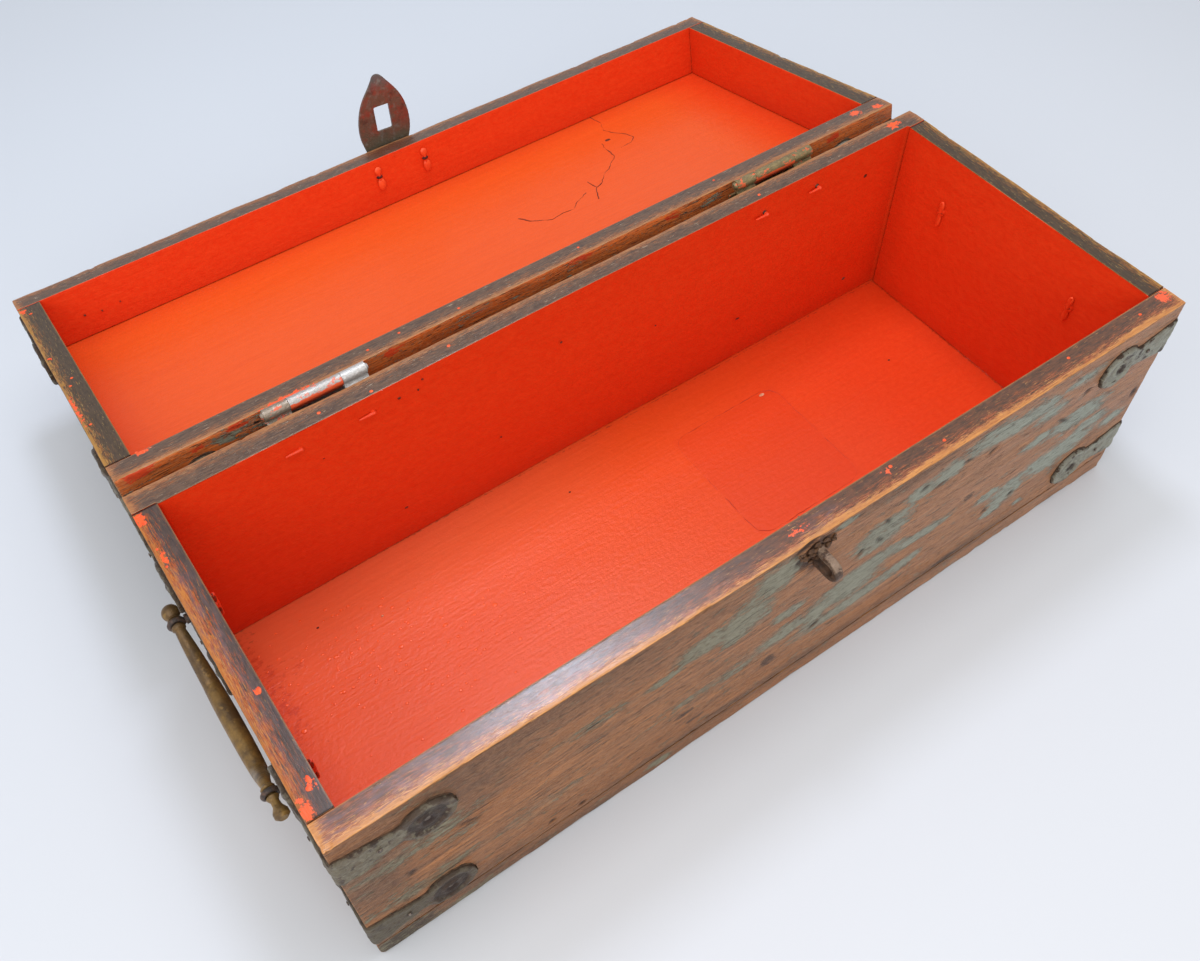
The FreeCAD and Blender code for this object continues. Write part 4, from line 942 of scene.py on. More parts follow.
on_leaf = add(tree, "ShaderNodeMapRange", {"Value": along, "From Min": 34.0 * MM, "From Max": 40.0 * MM})
ring = share(tree, ring, on_leaf)
swell = add(tree, "ShaderNodeMath", {0: swell, 1: ring}, operation="ADD")
swell = share(tree, swell, crown)
seat = add(tree, "ShaderNodeMapRange", {"Value": gap, "From Min": 4.2 * MM, "From Max": 2.4 * MM})
sunk = add(tree, "ShaderNodeMath", {0: leg, 1: give["Sunk leg"], 2: 0.5}, operation="COMPARE")
swell = share(tree, share(tree, seat, sunk), -0.8, swell)
high = share(tree, swell, give["Thick"])
high = add(tree, "ShaderNodeMix", {0: upper, 2: -BURIED, 3: high}, data_type="FLOAT")
print("with its face:", len(tree.nodes), "nodes")

# %% Wrap the strap round its corner
# The second leg is the first with x and y swapped.
radius = add(tree, "ShaderNodeMath", {0: high, 1: BEND_R}, operation="ADD")
sine = add(tree, "ShaderNodeMath", {0: lean}, operation="SINE")
cosine = add(tree, "ShaderNodeMath", {0: lean}, operation="COSINE")
sine = add(tree, "ShaderNodeMath", {0: sine, 1: radius}, operation="MULTIPLY")
cosine = add(tree, "ShaderNodeMath", {0: cosine, 1: radius}, operation="MULTIPLY")
out_along = add(tree, "ShaderNodeMath", {0: along, 1: sine}, operation="SUBTRACT")
out_away = share(tree, cosine, -1.0, BEND_R)
first = add(tree, "ShaderNodeCombineXYZ", {0: out_along, 1: out_away, 2: across})
second = add(tree, "ShaderNodeCombineXYZ", {0: out_away, 1: out_along, 2: across})
on_second = add(tree, "ShaderNodeMath", {0: leg, 1: 0.0}, operation="LESS_THAN")
wrapped = add(tree, "ShaderNodeMix", {0: on_second, 4: first, 5: second}, out=1, data_type="VECTOR")
for name, value in (("nail_gap", gap), ("edge", rim)):
    bar = add(tree, "GeometryNodeStoreNamedAttribute",
              {"Geometry": bar, "Name": name, "Value": value}, data_type="FLOAT", domain="POINT")
bar = add(tree, "GeometryNodeSetPosition", {"Geometry": bar, "Position": wrapped})
add(tree, "NodeGroupOutput", {"Strap": bar})
print("strap tree:", len(strap_shape.nodes), "nodes")

# %% Lay the strap on its bed
tree, strap_ids, give = new_tree(
    "strap_on_its_bed", {**STRAP_INPUTS, "Creep": "Float", "Iron": "Material", "Bed": "Material"}, "Strap")
strap_group = tree
sizes = {name: give[name] for name in STRAP_INPUTS}
strap = add(tree, "GeometryNodeGroup", sizes, node_tree=strap_shape)
creep = add(tree, "ShaderNodeMath", {0: give["Creep"], 1: give["Grow"]}, operation="ADD")
bed = add(tree, "GeometryNodeGroup", {**sizes, "Grow": creep, "Thick": 0.18 * MM, "Wander": 2.4 * MM,
                                      "Sunk leg": 3.0}, node_tree=strap_shape)
strap = add(tree, "GeometryNodeSetMaterial", {"Geometry": strap, "Material": give["Iron"]})
bed = add(tree, "GeometryNodeSetMaterial", {"Geometry": bed, "Material": give["Bed"]})
both = add(tree, "GeometryNodeJoinGeometry", {"Geometry": strap})
tree.links.new(bed, both.node.inputs["Geometry"])
both = add(tree, "GeometryNodeSetShadeSmooth", {"Geometry": both})
both = add(tree, "GeometryNodeRealizeInstances", {"Geometry": both})
add(tree, "NodeGroupOutput", {"Strap": both})
print("strap inputs:", list(strap_ids))

# %% [markdown]
# The straps were painted over with the boards. On the left handling has rubbed the leaves back to dark
# slate-coloured iron, and on the right the grey-green paint still fills the hammer marks. The finish
# reads each point's distance from its nail, which the tree has written. On the left leaves the raised ring
# round the nail is painted paler, partly rubbed iron and partly a painted highlight, and the groove inside
# the ring is painted darker, partly dirt and partly painted shade.

# %% Painted strap iron
# Wrought iron under old oil paint: matt, pitted, and dark where the paint has gone.
strap_paint, tree, shader = new_finish("wrought_iron_painted_green")
spot = add(tree, "ShaderNodeTexCoord", out="Object")
axes = add(tree, "ShaderNodeSeparateXYZ", {0: spot}).node.outputs
to_right = add(tree, "ShaderNodeMapRange", {"Value": axes[0], "From Min": -0.2, "From Max": 0.25})
soiled = add(tree, "ShaderNodeMapRange", {"Value": axes[2], "From Min": 70.0 * MM, "From Max": 45.0 * MM})
soiled = share(tree, soiled, share(tree, to_right, -0.6, 0.6))
nail_gap = written(tree, "nail_gap")
leaf = add(tree, "ShaderNodeMapRange", {"Value": nail_gap, "From Min": 22.0 * MM, "From Max": 7.0 * MM})
left_leaf = share(tree, leaf, share(tree, to_right, -0.16, 0.16))
lift = share(tree, written(tree, "edge"), 0.08, left_leaf)
chipped = streaks(tree, spot, 7.0, 7.0, 0.55, 0.6, seed=31.0, detail=8.0, rough=0.7, lift=lift)
rusty = streaks(tree, spot, 6.0, 6.0, 0.46, 0.6, seed=32.0, detail=7.0, rough=0.65)
hammered = streaks(tree, spot, 4.0, 4.0, 0.2, 0.8, seed=33.0, detail=6.0, rough=0.62)
dusty = streaks(tree, spot, 3.0, 3.0, 0.38, 0.62, seed=34.0, detail=6.0, rough=0.65)
cracked = streaks(tree, spot, 9.0, 1.4, 0.6, 0.64, seed=36.0, detail=7.0, rough=0.65)
socket = add(tree, "ShaderNodeMapRange", {"Value": nail_gap, "From Min": 5.4 * MM, "From Max": 3.0 * MM})
# The raised ring is painted paler: partly rubbed iron, partly a painted highlight.
crest = add(tree, "ShaderNodeMapRange", {"Value": nail_gap, "From Min": 11.0 * MM, "From Max": 13.5 * MM})
crest = share(tree, crest, left_leaf)
green = coats(tree, "#625A48", (to_right, "#8D8F82"))
green = coats(tree, green, (share(tree, dusty, 0.5), "#8F8775"), (share(tree, rusty, 0.4), "#5A4534"),
              (soiled, "#463C2E"), (cracked, "#3C2C22"))
iron = coats(tree, "#2F231B", (share(tree, rusty, 0.6), "#452C1C"), (share(tree, dusty, 0.4), "#5A4A3C"),
             (share(tree, crest, 3.0), "#6E604E"))
# The groove inside the ring is painted darker: partly dirt, partly painted shade.
groove = add(tree, "ShaderNodeMath", {0: nail_gap, 1: 8.6 * MM, 2: 1.9 * MM}, operation="COMPARE")
groove = share(tree, groove, share(tree, to_right, -0.4, 0.6))
strap_colour = coats(tree, green, (chipped, iron), (groove, "#2C2019"),
                     (share(tree, written(tree, "edge"), 0.5), "#3A2C22"),
                     (share(tree, socket, 0.9), "#2E201A"))
surface(tree, shader, strap_colour, sheen(tree, 0.5, (chipped, 0.42)), hammered, 0.9, specular=0.25)
print("strap finish:", strap_paint.name)

# %% Nail heads and the strap's bed
# Wrought nail heads, rubbed bright on their high spots, and a dull crust of rust and dirt.
nail_iron, tree, shader = new_finish("wrought_nail_heads")
spot = add(tree, "ShaderNodeTexCoord", out="Object")
polished = streaks(tree, spot, 2.0, 2.0, 0.46, 0.56, seed=37.0, detail=5.0)
pitted = streaks(tree, spot, 1.0, 1.0, 0.3, 0.7, seed=38.0)
surface(tree, shader, coats(tree, "#3C2C22", (polished, "#7C6E60")), 0.38, pitted, 0.15,
        metallic=sheen(tree, 0.2, (polished, 0.5)))

strap_bed, tree, shader = new_finish("rust_and_dirt_bed")
spot = add(tree, "ShaderNodeTexCoord", out="Object")
caked = streaks(tree, spot, 3.0, 3.0, 0.4, 0.6, seed=35.0, detail=6.0)
surface(tree, shader, coats(tree, "#34261C", (caked, "#5A4230")), 0.75, caked, 0.2, specular=0.2)
print("finishes:", nail_iron.name, "and", strap_bed.name)

# %% Twelve straps
STRAP_SIZES = {"Reach": 66.0, "Corner half": 15.0, "Neck half": 8.6, "Shoulder": 30.0, "Leaf radius": 16.2,
               "Nail at": 49.5, "Thick": 1.65, "Grow": 0.0, "Wander": 1.0, "Creep": 1.5}
# Corner: which end, which side, quarter turns from the front left, and the leg on the long side.
STRAP_CORNERS = {"front_left": (-1, -1, 0, 1), "front_right": (1, -1, 1, -1),
                 "rear_right": (1, 1, 2, 1), "rear_left": (-1, 1, 3, -1)}
# Heights of their middle lines, and the lid's front face, a little behind the base's.
STRAP_HEIGHTS, LID_STRAP_HEIGHT = {"upper": 139.5, "lower": 38.5}, 195.4
LID_FRONT_FACE = -120.0


def forge(name, corner, quarters, sunk_leg, seed):
    """One strap, at a corner given in the closed chest's frame in millimetres."""
    settings = {name: value * MM for name, value in STRAP_SIZES.items()}
    settings.update({"Sunk leg": float(sunk_leg), "Seed": float(seed), "Iron": strap_paint,
                     "Bed": strap_bed})
    mesh = evaluate(bpy.data.meshes.new("seed"), strap_group, strap_ids, settings, "forged_" + name)
    mesh.transform(swing_of(name) @ Matrix.Translation(Vector(corner) * MM)
                   @ Matrix.Rotation(quarters * math.pi / 2, 4, "Z"))
    return place(mesh, "lid" if name.startswith("lid_") else "base", "strap_iron", [name])


straps = []
for name, (end, side, quarters, sunk_leg) in STRAP_CORNERS.items():
    lid_face = BACK_FACE if side > 0 else LID_FRONT_FACE
    corners = [(name + "_" + level + "_strap", side * BACK_FACE, height)
               for level, height in STRAP_HEIGHTS.items()]
    corners.append(("lid_" + name + "_strap", lid_face, LID_STRAP_HEIGHT))
    for node, y, height in corners:
        straps.append(forge(node, (end * END_FACE, y, height), quarters, sunk_leg, len(straps)))
print("straps:", len(straps), "with", len(straps[0].data.polygons), "faces each")

# %% [markdown]
# ## Spots and cracks
# Flecks of orange paint have dripped on the rims, small chips show dark wood through the enamel, and on
# the floor it was brushed over dust and spilled glue, which stand up in lumps. All of these are flat
# blobs, so one tree sets a ragged low blob on each point of a mesh, sized by a number on the point.
# Cracks in the lid's panel and the outline of an old patch on the floor are lines: a second tree lays a
# fine uneven bead along each, sunk so that only its back shows.

# %% A tree for flat spots
tree, spots_ids, give = new_tree("flat_spots", {"Ragged": "Float", "Seed": "Float", "Finish": "Material"},
                                 "Spots", source="Places")
spots_group = tree
half = add(tree, "GeometryNodeInputNamedAttribute", {"Name": "half"}, data_type="FLOAT_VECTOR")
blob = add(tree, "GeometryNodeMeshIcoSphere", {"Radius": 1.0, "Subdivisions": 3})
blobs = add(tree, "GeometryNodeInstanceOnPoints",
            {"Points": give["Places"], "Instance": blob, "Scale": half})
blobs = add(tree, "GeometryNodeRealizeInstances", {"Geometry": blobs})
rough = add(tree, "ShaderNodeTexNoise", {"W": give["Seed"], "Scale": 420.0, "Detail": 2.0},
            out="Color", noise_dimensions="4D")
rough = add(tree, "ShaderNodeVectorMath", {0: rough, 1: (2.0,) * 3, 2: (-1.0,) * 3},
            operation="MULTIPLY_ADD")
rough = add(tree, "ShaderNodeVectorMath", {0: rough, 1: half}, operation="MULTIPLY")
rough = add(tree, "ShaderNodeVectorMath", {0: rough, "Scale": give["Ragged"]}, operation="SCALE")
blobs = add(tree, "GeometryNodeSetPosition", {"Geometry": blobs, "Offset": rough})
blobs = add(tree, "GeometryNodeSetShadeSmooth", {"Geometry": blobs})
blobs = add(tree, "GeometryNodeSetMaterial", {"Geometry": blobs, "Material": give["Finish"]})
add(tree, "NodeGroupOutput", {"Spots": blobs})
print("spots:", list(spots_ids))

# %% A tree for cracks
tree, crack_ids, give = new_tree(
    "cracks", {"Width": "Float", "Stray": "Float", "Seed": "Float", "Finish": "Material"}, "Cracks",
    source="Lines")
crack_group = tree
line = add(tree, "GeometryNodeMeshToCurve", {"Mesh": give["Lines"]})
line = add(tree, "GeometryNodeResampleCurve", {"Curve": line, "Length": 1.3 * MM}, mode="LENGTH")
stray = add(tree, "ShaderNodeTexNoise", {"W": give["Seed"], "Scale": 160.0, "Detail": 3.0},
            out="Color", noise_dimensions="4D")
stray = add(tree, "ShaderNodeVectorMath", {0: stray, 1: (2.0, 2.0, 0.0), 2: (-1.0, -1.0, 0.0)},
            operation="MULTIPLY_ADD")
stray = add(tree, "ShaderNodeVectorMath", {0: stray, "Scale": give["Stray"]}, operation="SCALE")
line = add(tree, "GeometryNodeSetPosition", {"Geometry": line, "Offset": stray})
pinch = add(tree, "ShaderNodeTexNoise", {"W": give["Seed"], "Scale": 90.0, "Detail": 3.0},
            noise_dimensions="4D")
pinch = add(tree, "ShaderNodeMapRange", {"Value": pinch, "From Min": 0.35, "From Max": 0.65,
                                         "To Min": 0.1, "To Max": 1.2})
profile = add(tree, "GeometryNodeCurvePrimitiveCircle", {"Resolution": 6, "Radius": give["Width"]})
bead = add(tree, "GeometryNodeCurveToMesh", {"Curve": line, "Profile Curve": profile,
                                             "Scale": pinch, "Fill Caps": True})
bead = add(tree, "GeometryNodeSetShadeSmooth", {"Geometry": bead})
bead = add(tree, "GeometryNodeRealizeInstances", {"Geometry": bead})
bead = add(tree, "GeometryNodeSetMaterial", {"Geometry": bead, "Material": give["Finish"]})
add(tree, "NodeGroupOutput", {"Cracks": bead})
print("cracks:", list(crack_ids))

# %% Pieces made by the two trees
def spots(name, body, places, finish, ragged=0.35, seed=0.0):
    """Flat blobs. A place is its centre and its three half sizes in millimetres, the chest closed."""
    source = bpy.data.meshes.new("seed")
    source.from_pydata([tuple(v * MM for v in spot[:3]) for spot in places], [], [])
    half = source.attributes.new("half", "FLOAT_VECTOR", "POINT")
    half.data.foreach_set("vector", [v * MM for spot in places for v in spot[3:6]])
    mesh = evaluate(source, spots_group, spots_ids, {"Ragged": ragged, "Seed": seed, "Finish": finish}, name)
    mesh.transform(TO_OPEN if body == "lid" else REST)
    return place(mesh, body, body + "_wood")


def cracks(name, body, lines, width_mm, finish, stray_mm, seed):
    """Beads along lines of points, given in millimetres with the chest closed."""
    points, edges = [], []
    for line in lines:
        edges += [(len(points) + k, len(points) + k + 1) for k in range(len(line) - 1)]
        points += [tuple(v * MM for v in point) for point in line]
    source = bpy.data.meshes.new("seed")
    source.from_pydata(points, edges, [])
    mesh = evaluate(source, crack_group, crack_ids, {
        "Width": width_mm * MM, "Stray": stray_mm * MM, "Seed": seed, "Finish": finish}, name)
    mesh.transform(TO_OPEN if body == "lid" else REST)
    return place(mesh, body, body + "_wood")


def plain_coat(name, code, deeper, size_mm, roughness):
    """A coat of one paint or stain that only drifts a little in tone."""
    made, tree, shader = new_finish(name)
    spot = add(tree, "ShaderNodeTexCoord", out="Object")
    drift = streaks(tree, spot, size_mm, size_mm, 0.35, 0.65, seed=80.0, detail=4.0)
    surface(tree, shader, coats(tree, code, (drift, deeper)), roughness, drift, 0.06, specular=0.35)
    return made


print("helpers: spots, cracks, plain_coat")

# %% Coats for spots and cracks
orange_drip = plain_coat("orange_enamel_drips", "#F0602F", "#E04A1E", 3.0, 0.4)
bare_chip = plain_coat("dark_wood_in_chips", "#6E2A18", "#431B12", 2.0, 0.7)
crack_dirt = plain_coat("dirt_in_cracks", "#7A2A18", "#4A1C14", 4.0, 0.7)
patch_line = plain_coat("enamel_over_a_patch_edge", "#C93C18", "#B03012", 6.0, 0.45)
print("coats:", [m.name for m in (orange_drip, bare_chip, crack_dirt, patch_line)])

# %% Drips on the rims
# Levels just inside the wood, so that only the back of each blob shows.
RIM, LID_EDGE = 167.8, 168.6
rim_drips = [(x, y, RIM, 1.2, 1.0, 0.32) for x, y in (
    (204, -111), (98, -113), (268, -112), (60, -109), (-183, 113), (-94, 115), (-150, 110), (150, 113))]
rim_drips += [(-296 + (k % 3 - 1), 64 + 4.5 * k, RIM, 0.8, 0.8, 0.3) for k in range(4)]
rim_drips += [(-296, 98, RIM, 1.4, 1.6, 0.35), (-297, 104, RIM, 1.6, 1.2, 0.35),
              (-289, -86, RIM, 1.2, 2.6, 0.35), (-288, -30, RIM, 1.0, 1.8, 0.35),
              (-291, -90, RIM, 1.4, 1.5, 0.35)]
spots("orange_drips_on_the_base_rim", "base", rim_drips, orange_drip, ragged=0.22, seed=1.0)
lid_drips = [(x, y, LID_EDGE, 1.0, 0.9, 0.32) for x, y in (
    (-277, 108), (-281, 106), (-134, 114), (-111, 112), (-70, 116), (24, 113), (140, 111), (-297, -98),
    (-293, -92), (-297, -28), (-291, 4), (-294, 12), (-295, 60))]
spots("orange_drips_on_the_lid_rim", "lid", lid_drips, orange_drip, ragged=0.22, seed=2.0)
print("drips:", len(rim_drips) + len(lid_drips))

# %% Chips and lumps in the enamel
BACK_WALL, FLOOR = 107.2, 17.8
chips = [(x, BACK_WALL, z, 0.6 * a, 0.4, 0.6 * b) for x, z, a, b in (
    (-260, 138, 1.4, 1.2), (-190, 136, 2.0, 1.2), (-204, 141, 1.3, 1.0), (-135, 154, 1.8, 1.5),
    (-118, 160, 1.2, 1.0), (-122, 153, 1.0, 1.4), (-18, 131, 1.6, 1.3), (-147, 50, 2.2, 1.0),
    (138, 61, 3.6, 1.0), (60, 100, 1.2, 0.9), (-70, 70, 1.2, 0.9))]
chips += [(x, y, FLOOR, 0.6 * a, 0.6 * b, 0.4) for x, y, a, b in (
    (-235, 79, 1.6, 1.2), (-38, 74, 1.4, 1.1), (235, 35, 1.6, 1.3), (-190, -40, 1.0, 1.0))]
spots("chips_in_the_enamel", "base", chips, bare_chip, seed=3.0)
spots("chips_in_the_lid_enamel", "lid",
      [(162.7, -60.7, 209.6, 2.6, 1.4, 0.5), (-262, -103.6, 192, 0.9, 0.5, 0.7),
       (-250, -103.6, 194, 0.6, 0.5, 0.6), (-236, -103.6, 193, 0.5, 0.5, 0.5)], bare_chip, seed=4.0)
# Lumps crowd where tools were thrown in: round one middle, and looser round a second.
lump_draw = random.Random(31)
lumps = []
for k in range(150):
    (x, y), (spread_x, spread_y) = ((-225, 40), (42, 40)) if k < 95 else ((-165, 10), (50, 40))
    size = lump_draw.uniform(0.5, 1.1) * (1.6 if lump_draw.random() < 0.15 else 1.0)
    lumps.append((min(-110, max(-276, lump_draw.gauss(x, 0.6 * spread_x))),
                  min(96, max(-70, lump_draw.gauss(y, 0.6 * spread_y))), FLOOR + 0.05,
                  1.2 * size, size, 0.32 * size))
# The lumps' enamel is painted lighter than the floor's, as a painted highlight on each lump.
spots("lumps_under_the_floor_enamel", "base", lumps,
      plain_coat("enamel_lumps_with_painted_highlight", "#F66C38", "#EC5C2C", 2.0, 0.26), ragged=0.25, seed=12.0)
spots("pale_chip_on_the_floor", "base",
      [(132, 65, FLOOR, 2.4, 1.2, 0.4), (-196, 62, FLOOR + 0.1, 0.9, 0.6, 0.8)],
      plain_coat("primer_in_a_chip", "#E0B090", "#C88A60", 2.0, 0.6), seed=5.0)
print("chips:", len(chips), "and lumps:", len(lumps))

# %% [markdown]
# The split pins of hasp and handles come through the wood as flat doubled ends, bent apart and hammered
# down before the inside was painted. Thick enamel has rounded them into small tabs, and the gap left in
# the middle is a dark blob of painted shadow.

# %% Painted ends of the split pins
tab_enamel = plain_coat("enamel_on_bent_ends", "#EC5426", "#D63C18", 5.0, 0.4)
# Painted shadow for the gaps between the pins' tabs.
painted_gap_shadow = plain_coat("painted_shadow_in_split_pins", "#5E1A10", "#35110C", 2.0, 0.8)
bare_ends = plain_coat("pin_ends_with_worn_enamel", "#9A321A", "#4E1C12", 2.0, 0.5)
# Where the pins come through, in millimetres: along the lid's front wall, and along the end walls.
HASP_EYES, HASP_EYE_Z, LID_INNER_Y = (-21.5, 19.1), 182.4, -104.0
HANDLE_EYES, HANDLE_EYE_Z, END_INNER_X = (-59.0, 61.0), 122.0, 285.0
spots("tabs_of_the_hasp_pins", "lid",
      [(x + 0.5, LID_INNER_Y + 1.4, HASP_EYE_Z + 6.8, 3.1, 1.5, 5.2) for x in HASP_EYES]
      + [(x, LID_INNER_Y + 1.2, HASP_EYE_Z - 4.8, 2.9, 1.4, 3.2) for x in HASP_EYES],
      tab_enamel, ragged=0.16, seed=6.0)
# A dark blob in the gap between the tabs is painted shadow.
spots("painted_shadow_in_the_hasp_pins", "lid",
      [(x, LID_INNER_Y + 1.2, HASP_EYE_Z + 0.2, 2.6, 1.9, 1.5) for x in HASP_EYES],
      painted_gap_shadow, ragged=0.2, seed=7.0)
for name, end, coat in (("left", -1, bare_ends), ("right", 1, tab_enamel)):
    inner = end * (END_INNER_X - 1.2)
    spots("tabs_of_the_" + name + "_handle_pins", "base",
          [(inner, y, HANDLE_EYE_Z + 5.6, 1.4, 2.2, 4.0) for y in HANDLE_EYES]
          + [(inner, y, HANDLE_EYE_Z - 6.6, 1.4, 2.0, 5.4) for y in HANDLE_EYES],
          coat, ragged=0.16, seed=8.0)
    # A dark blob in the gap between the tabs is painted shadow.
    spots("painted_shadow_in_the_" + name + "_handle_pins", "base",
          [(inner + 0.4 * end, y, HANDLE_EYE_Z, 1.2, 2.3, 1.3) for y in HANDLE_EYES],
          painted_gap_shadow, ragged=0.2, seed=9.0)
print("tabs made for", len(HASP_EYES) + 2 * len(HANDLE_EYES), "split pins")

# %% Cracks in the lid's panel
PANEL = 209.65


def on_panel(points):
    """Points read on the lid's panel: thirds of a millimetre from its front left inside corner."""
    return [(-INSIDE["lid"][0] + u / 3, INSIDE["lid"][1] + v / 3, PANEL) for u, v in points]


LID_CRACKS = [
    on_panel([(1378, 0), (1378, 45), (1362, 80), (1372, 110), (1390, 140), (1395, 165), (1375, 182),
              (1340, 185)]),
    on_panel([(1318, 135), (1310, 175), (1305, 210), (1270, 240), (1235, 265), (1210, 290), (1190, 300),
              (1165, 345)]),
    on_panel([(1190, 262), (1192, 300)]),
    on_panel([(985, 280), (1000, 310), (1040, 340), (1080, 335), (1100, 340), (1120, 320), (1160, 300)]),
]
cracks("cracks_in_the_lid_panel", "lid", LID_CRACKS, 0.42, crack_dirt, stray_mm=1.8, seed=1.0)
print("cracks:", len(LID_CRACKS))

# %% The edge of the floor patch
PATCH_LOW, PATCH_HIGH, PATCH_ROUND = Vector((49.0, -35.0)), Vector((143.0, 68.0)), 12.0


def rounded_outline(low, high, radius, level, steps=6):
    """A rectangle with round corners, as a closed line at one height."""
    line = []
    for k, (sx, sy) in enumerate(((1, 1), (-1, 1), (-1, -1), (1, -1))):
        cx = high.x - radius if sx > 0 else low.x + radius
        cy = high.y - radius if sy > 0 else low.y + radius
        for step in range(steps + 1):
            turn = math.pi / 2 * (k + step / steps)
            line.append((cx + radius * math.cos(turn), cy + radius * math.sin(turn), level))
    return line + [line[0]]


patch = rounded_outline(PATCH_LOW, PATCH_HIGH, PATCH_ROUND, 17.75)
cracks("edge_of_the_floor_patch", "base", [patch], 0.32, patch_line, stray_mm=1.4, seed=2.0)
print("patch edge:", len(patch), "points")

# %% [markdown]
# ## Other ironwork
# Nails, hinges and hasp are wrought iron and mild steel. Fasteners that come through inside were painted
# orange together with the wood, so their finish changes where the boards' inner faces are.

# %% Iron fasteners, painted orange inside
# How far the inside reaches from the middle, a little past the inner faces of the boards.
INSIDE_HALF = (285.4 * MM, 107.4 * MM)


def fastener_iron(name, swing_x):
    """Dark iron outside the boards, and orange enamel on what shows inside them."""
    made, tree, shader = new_finish(name)
    spot = add(tree, "ShaderNodeTexCoord", out="Object")
    if swing_x:
        spot = add(tree, "ShaderNodeVectorMath", {0: spot, 1: tuple(PIN)}, operation="SUBTRACT")
        spot = add(tree, "ShaderNodeVectorRotate", {"Vector": spot, "Axis": (1.0, 0.0, 0.0),
                                                    "Angle": -swing_x})
        spot = add(tree, "ShaderNodeVectorMath", {0: spot, 1: tuple(PIN)}, operation="ADD")
    size = add(tree, "ShaderNodeVectorMath", {0: spot}, operation="ABSOLUTE")
    sides = add(tree, "ShaderNodeSeparateXYZ", {0: size}).node.outputs
    in_x = add(tree, "ShaderNodeMath", {0: sides[0], 1: INSIDE_HALF[0]}, operation="LESS_THAN")
    in_y = add(tree, "ShaderNodeMath", {0: sides[1], 1: INSIDE_HALF[1]}, operation="LESS_THAN")
    inside = share(tree, in_x, in_y)
    rusty = streaks(tree, spot, 3.0, 3.0, 0.45, 0.62, seed=41.0, detail=5.0)
    pitted = streaks(tree, spot, 1.2, 1.2, 0.3, 0.7, seed=42.0)
    iron = coats(tree, "#3A312D", (rusty, "#5E4638"))
    surface(tree, shader, coats(tree, iron, (inside, "#DE3E16")), sheen(tree, 0.45, (inside, 0.4)),
            pitted, 0.12, specular=0.4)
    return made


base_fasteners = fastener_iron("iron_fasteners_of_the_base", 0.0)
lid_fasteners = fastener_iron("iron_fasteners_of_the_lid", LID_OPEN)
print("fasteners:", base_fasteners.name, "and", lid_fasteners.name)

# %% [markdown]
# Each hinge knuckle has had its own luck with the paint brush: on the left hinge the long middle knuckle
# kept its orange except for a pale steel line along its top, partly rubbed bare and partly a painted
# highlight, and the short ones are bare steel. The right hinge is dulled to a greenish brass colour, with
# orange low on its middle knuckle only.

# %% Where the hinges keep their paint
# Rolled mild steel, bright where it rubs, with the remains of an orange coat.
HINGE_X, MIDDLE_HALF = 0.177, 17.3 * MM
hinge_steel, tree, shader = new_finish("hinge_steel_with_worn_paint")
spot = add(tree, "ShaderNodeTexCoord", out="Object")
axes = add(tree, "ShaderNodeSeparateXYZ", {0: spot}).node.outputs
on_left = add(tree, "ShaderNodeMath", {0: axes[0], 1: 0.0}, operation="LESS_THAN")
offset = add(tree, "ShaderNodeMath", {0: axes[0], 1: HINGE_X}, operation="ADD")
middle = add(tree, "ShaderNodeMath", {0: offset}, operation="ABSOLUTE")
middle = add(tree, "ShaderNodeMath", {0: middle, 1: MIDDLE_HALF}, operation="LESS_THAN")
bright = add(tree, "ShaderNodeMath", {0: offset, 1: MIDDLE_HALF}, operation="GREATER_THAN")
bright = share(tree, bright, on_left)
flecks = streaks(tree, spot, 6.0, 3.0, 0.56, 0.58, seed=51.0, detail=8.0, rough=0.65)
tarnish = streaks(tree, spot, 6.0, 3.0, 0.38, 0.62, seed=52.0, detail=6.0, rough=0.65)
pitted = streaks(tree, spot, 1.4, 1.0, 0.35, 0.65, seed=53.0, detail=5.0)
line_at = add(tree, "ShaderNodeMath", {0: share(tree, tarnish, 0.9 * MM), 1: axes[2]}, operation="ADD")
top = add(tree, "ShaderNodeMapRange", {"Value": line_at, "From Min": 168.6 * MM, "From Max": 168.9 * MM})
kept = share(tree, middle, share(tree, top, -1.0, 1.0))
other = add(tree, "ShaderNodeMath", {0: axes[0], 1: HINGE_X, 2: MIDDLE_HALF}, operation="COMPARE")
low = add(tree, "ShaderNodeMapRange", {"Value": line_at, "From Min": 168.3 * MM, "From Max": 167.8 * MM})
kept = share(tree, other, low, kept)
barrel = add(tree, "ShaderNodeMapRange", {"Value": line_at, "From Min": 159.5 * MM, "From Max": 160.5 * MM})
kept = share(tree, kept, barrel)
kept = add(tree, "ShaderNodeMath", {0: kept, 1: share(tree, flecks, 0.8)}, operation="MAXIMUM")
kept = share(tree, kept, share(tree, bright, -1.0, 1.0))
print("middle knuckle:", 2 * MIDDLE_HALF / MM, "mm long")

# %% Hinge steel
# The middle knuckle's steel is painted paler: partly wear, partly a painted highlight along its top.
steel = coats(tree, "#A5988A", (share(tree, tarnish, 0.7), "#77664E"), (middle, "#B9B5B0"),
              (bright, "#C9C7C4"), (share(tree, pitted, 0.3), "#4E4238"))
brassy = coats(tree, "#A08D62", (tarnish, "#7A6A48"), (share(tree, pitted, 0.4), "#4A3C2C"))
metal = coats(tree, brassy, (on_left, steel))
surface(tree, shader, coats(tree, metal, (kept, "#E4592E")), sheen(tree, 0.34, (tarnish, 0.42), (kept, 0.42)),
        pitted, 0.12, metallic=sheen(tree, 0.55, (tarnish, 0.35), (kept, 0.0)))
print("hinge steel:", hinge_steel.name)

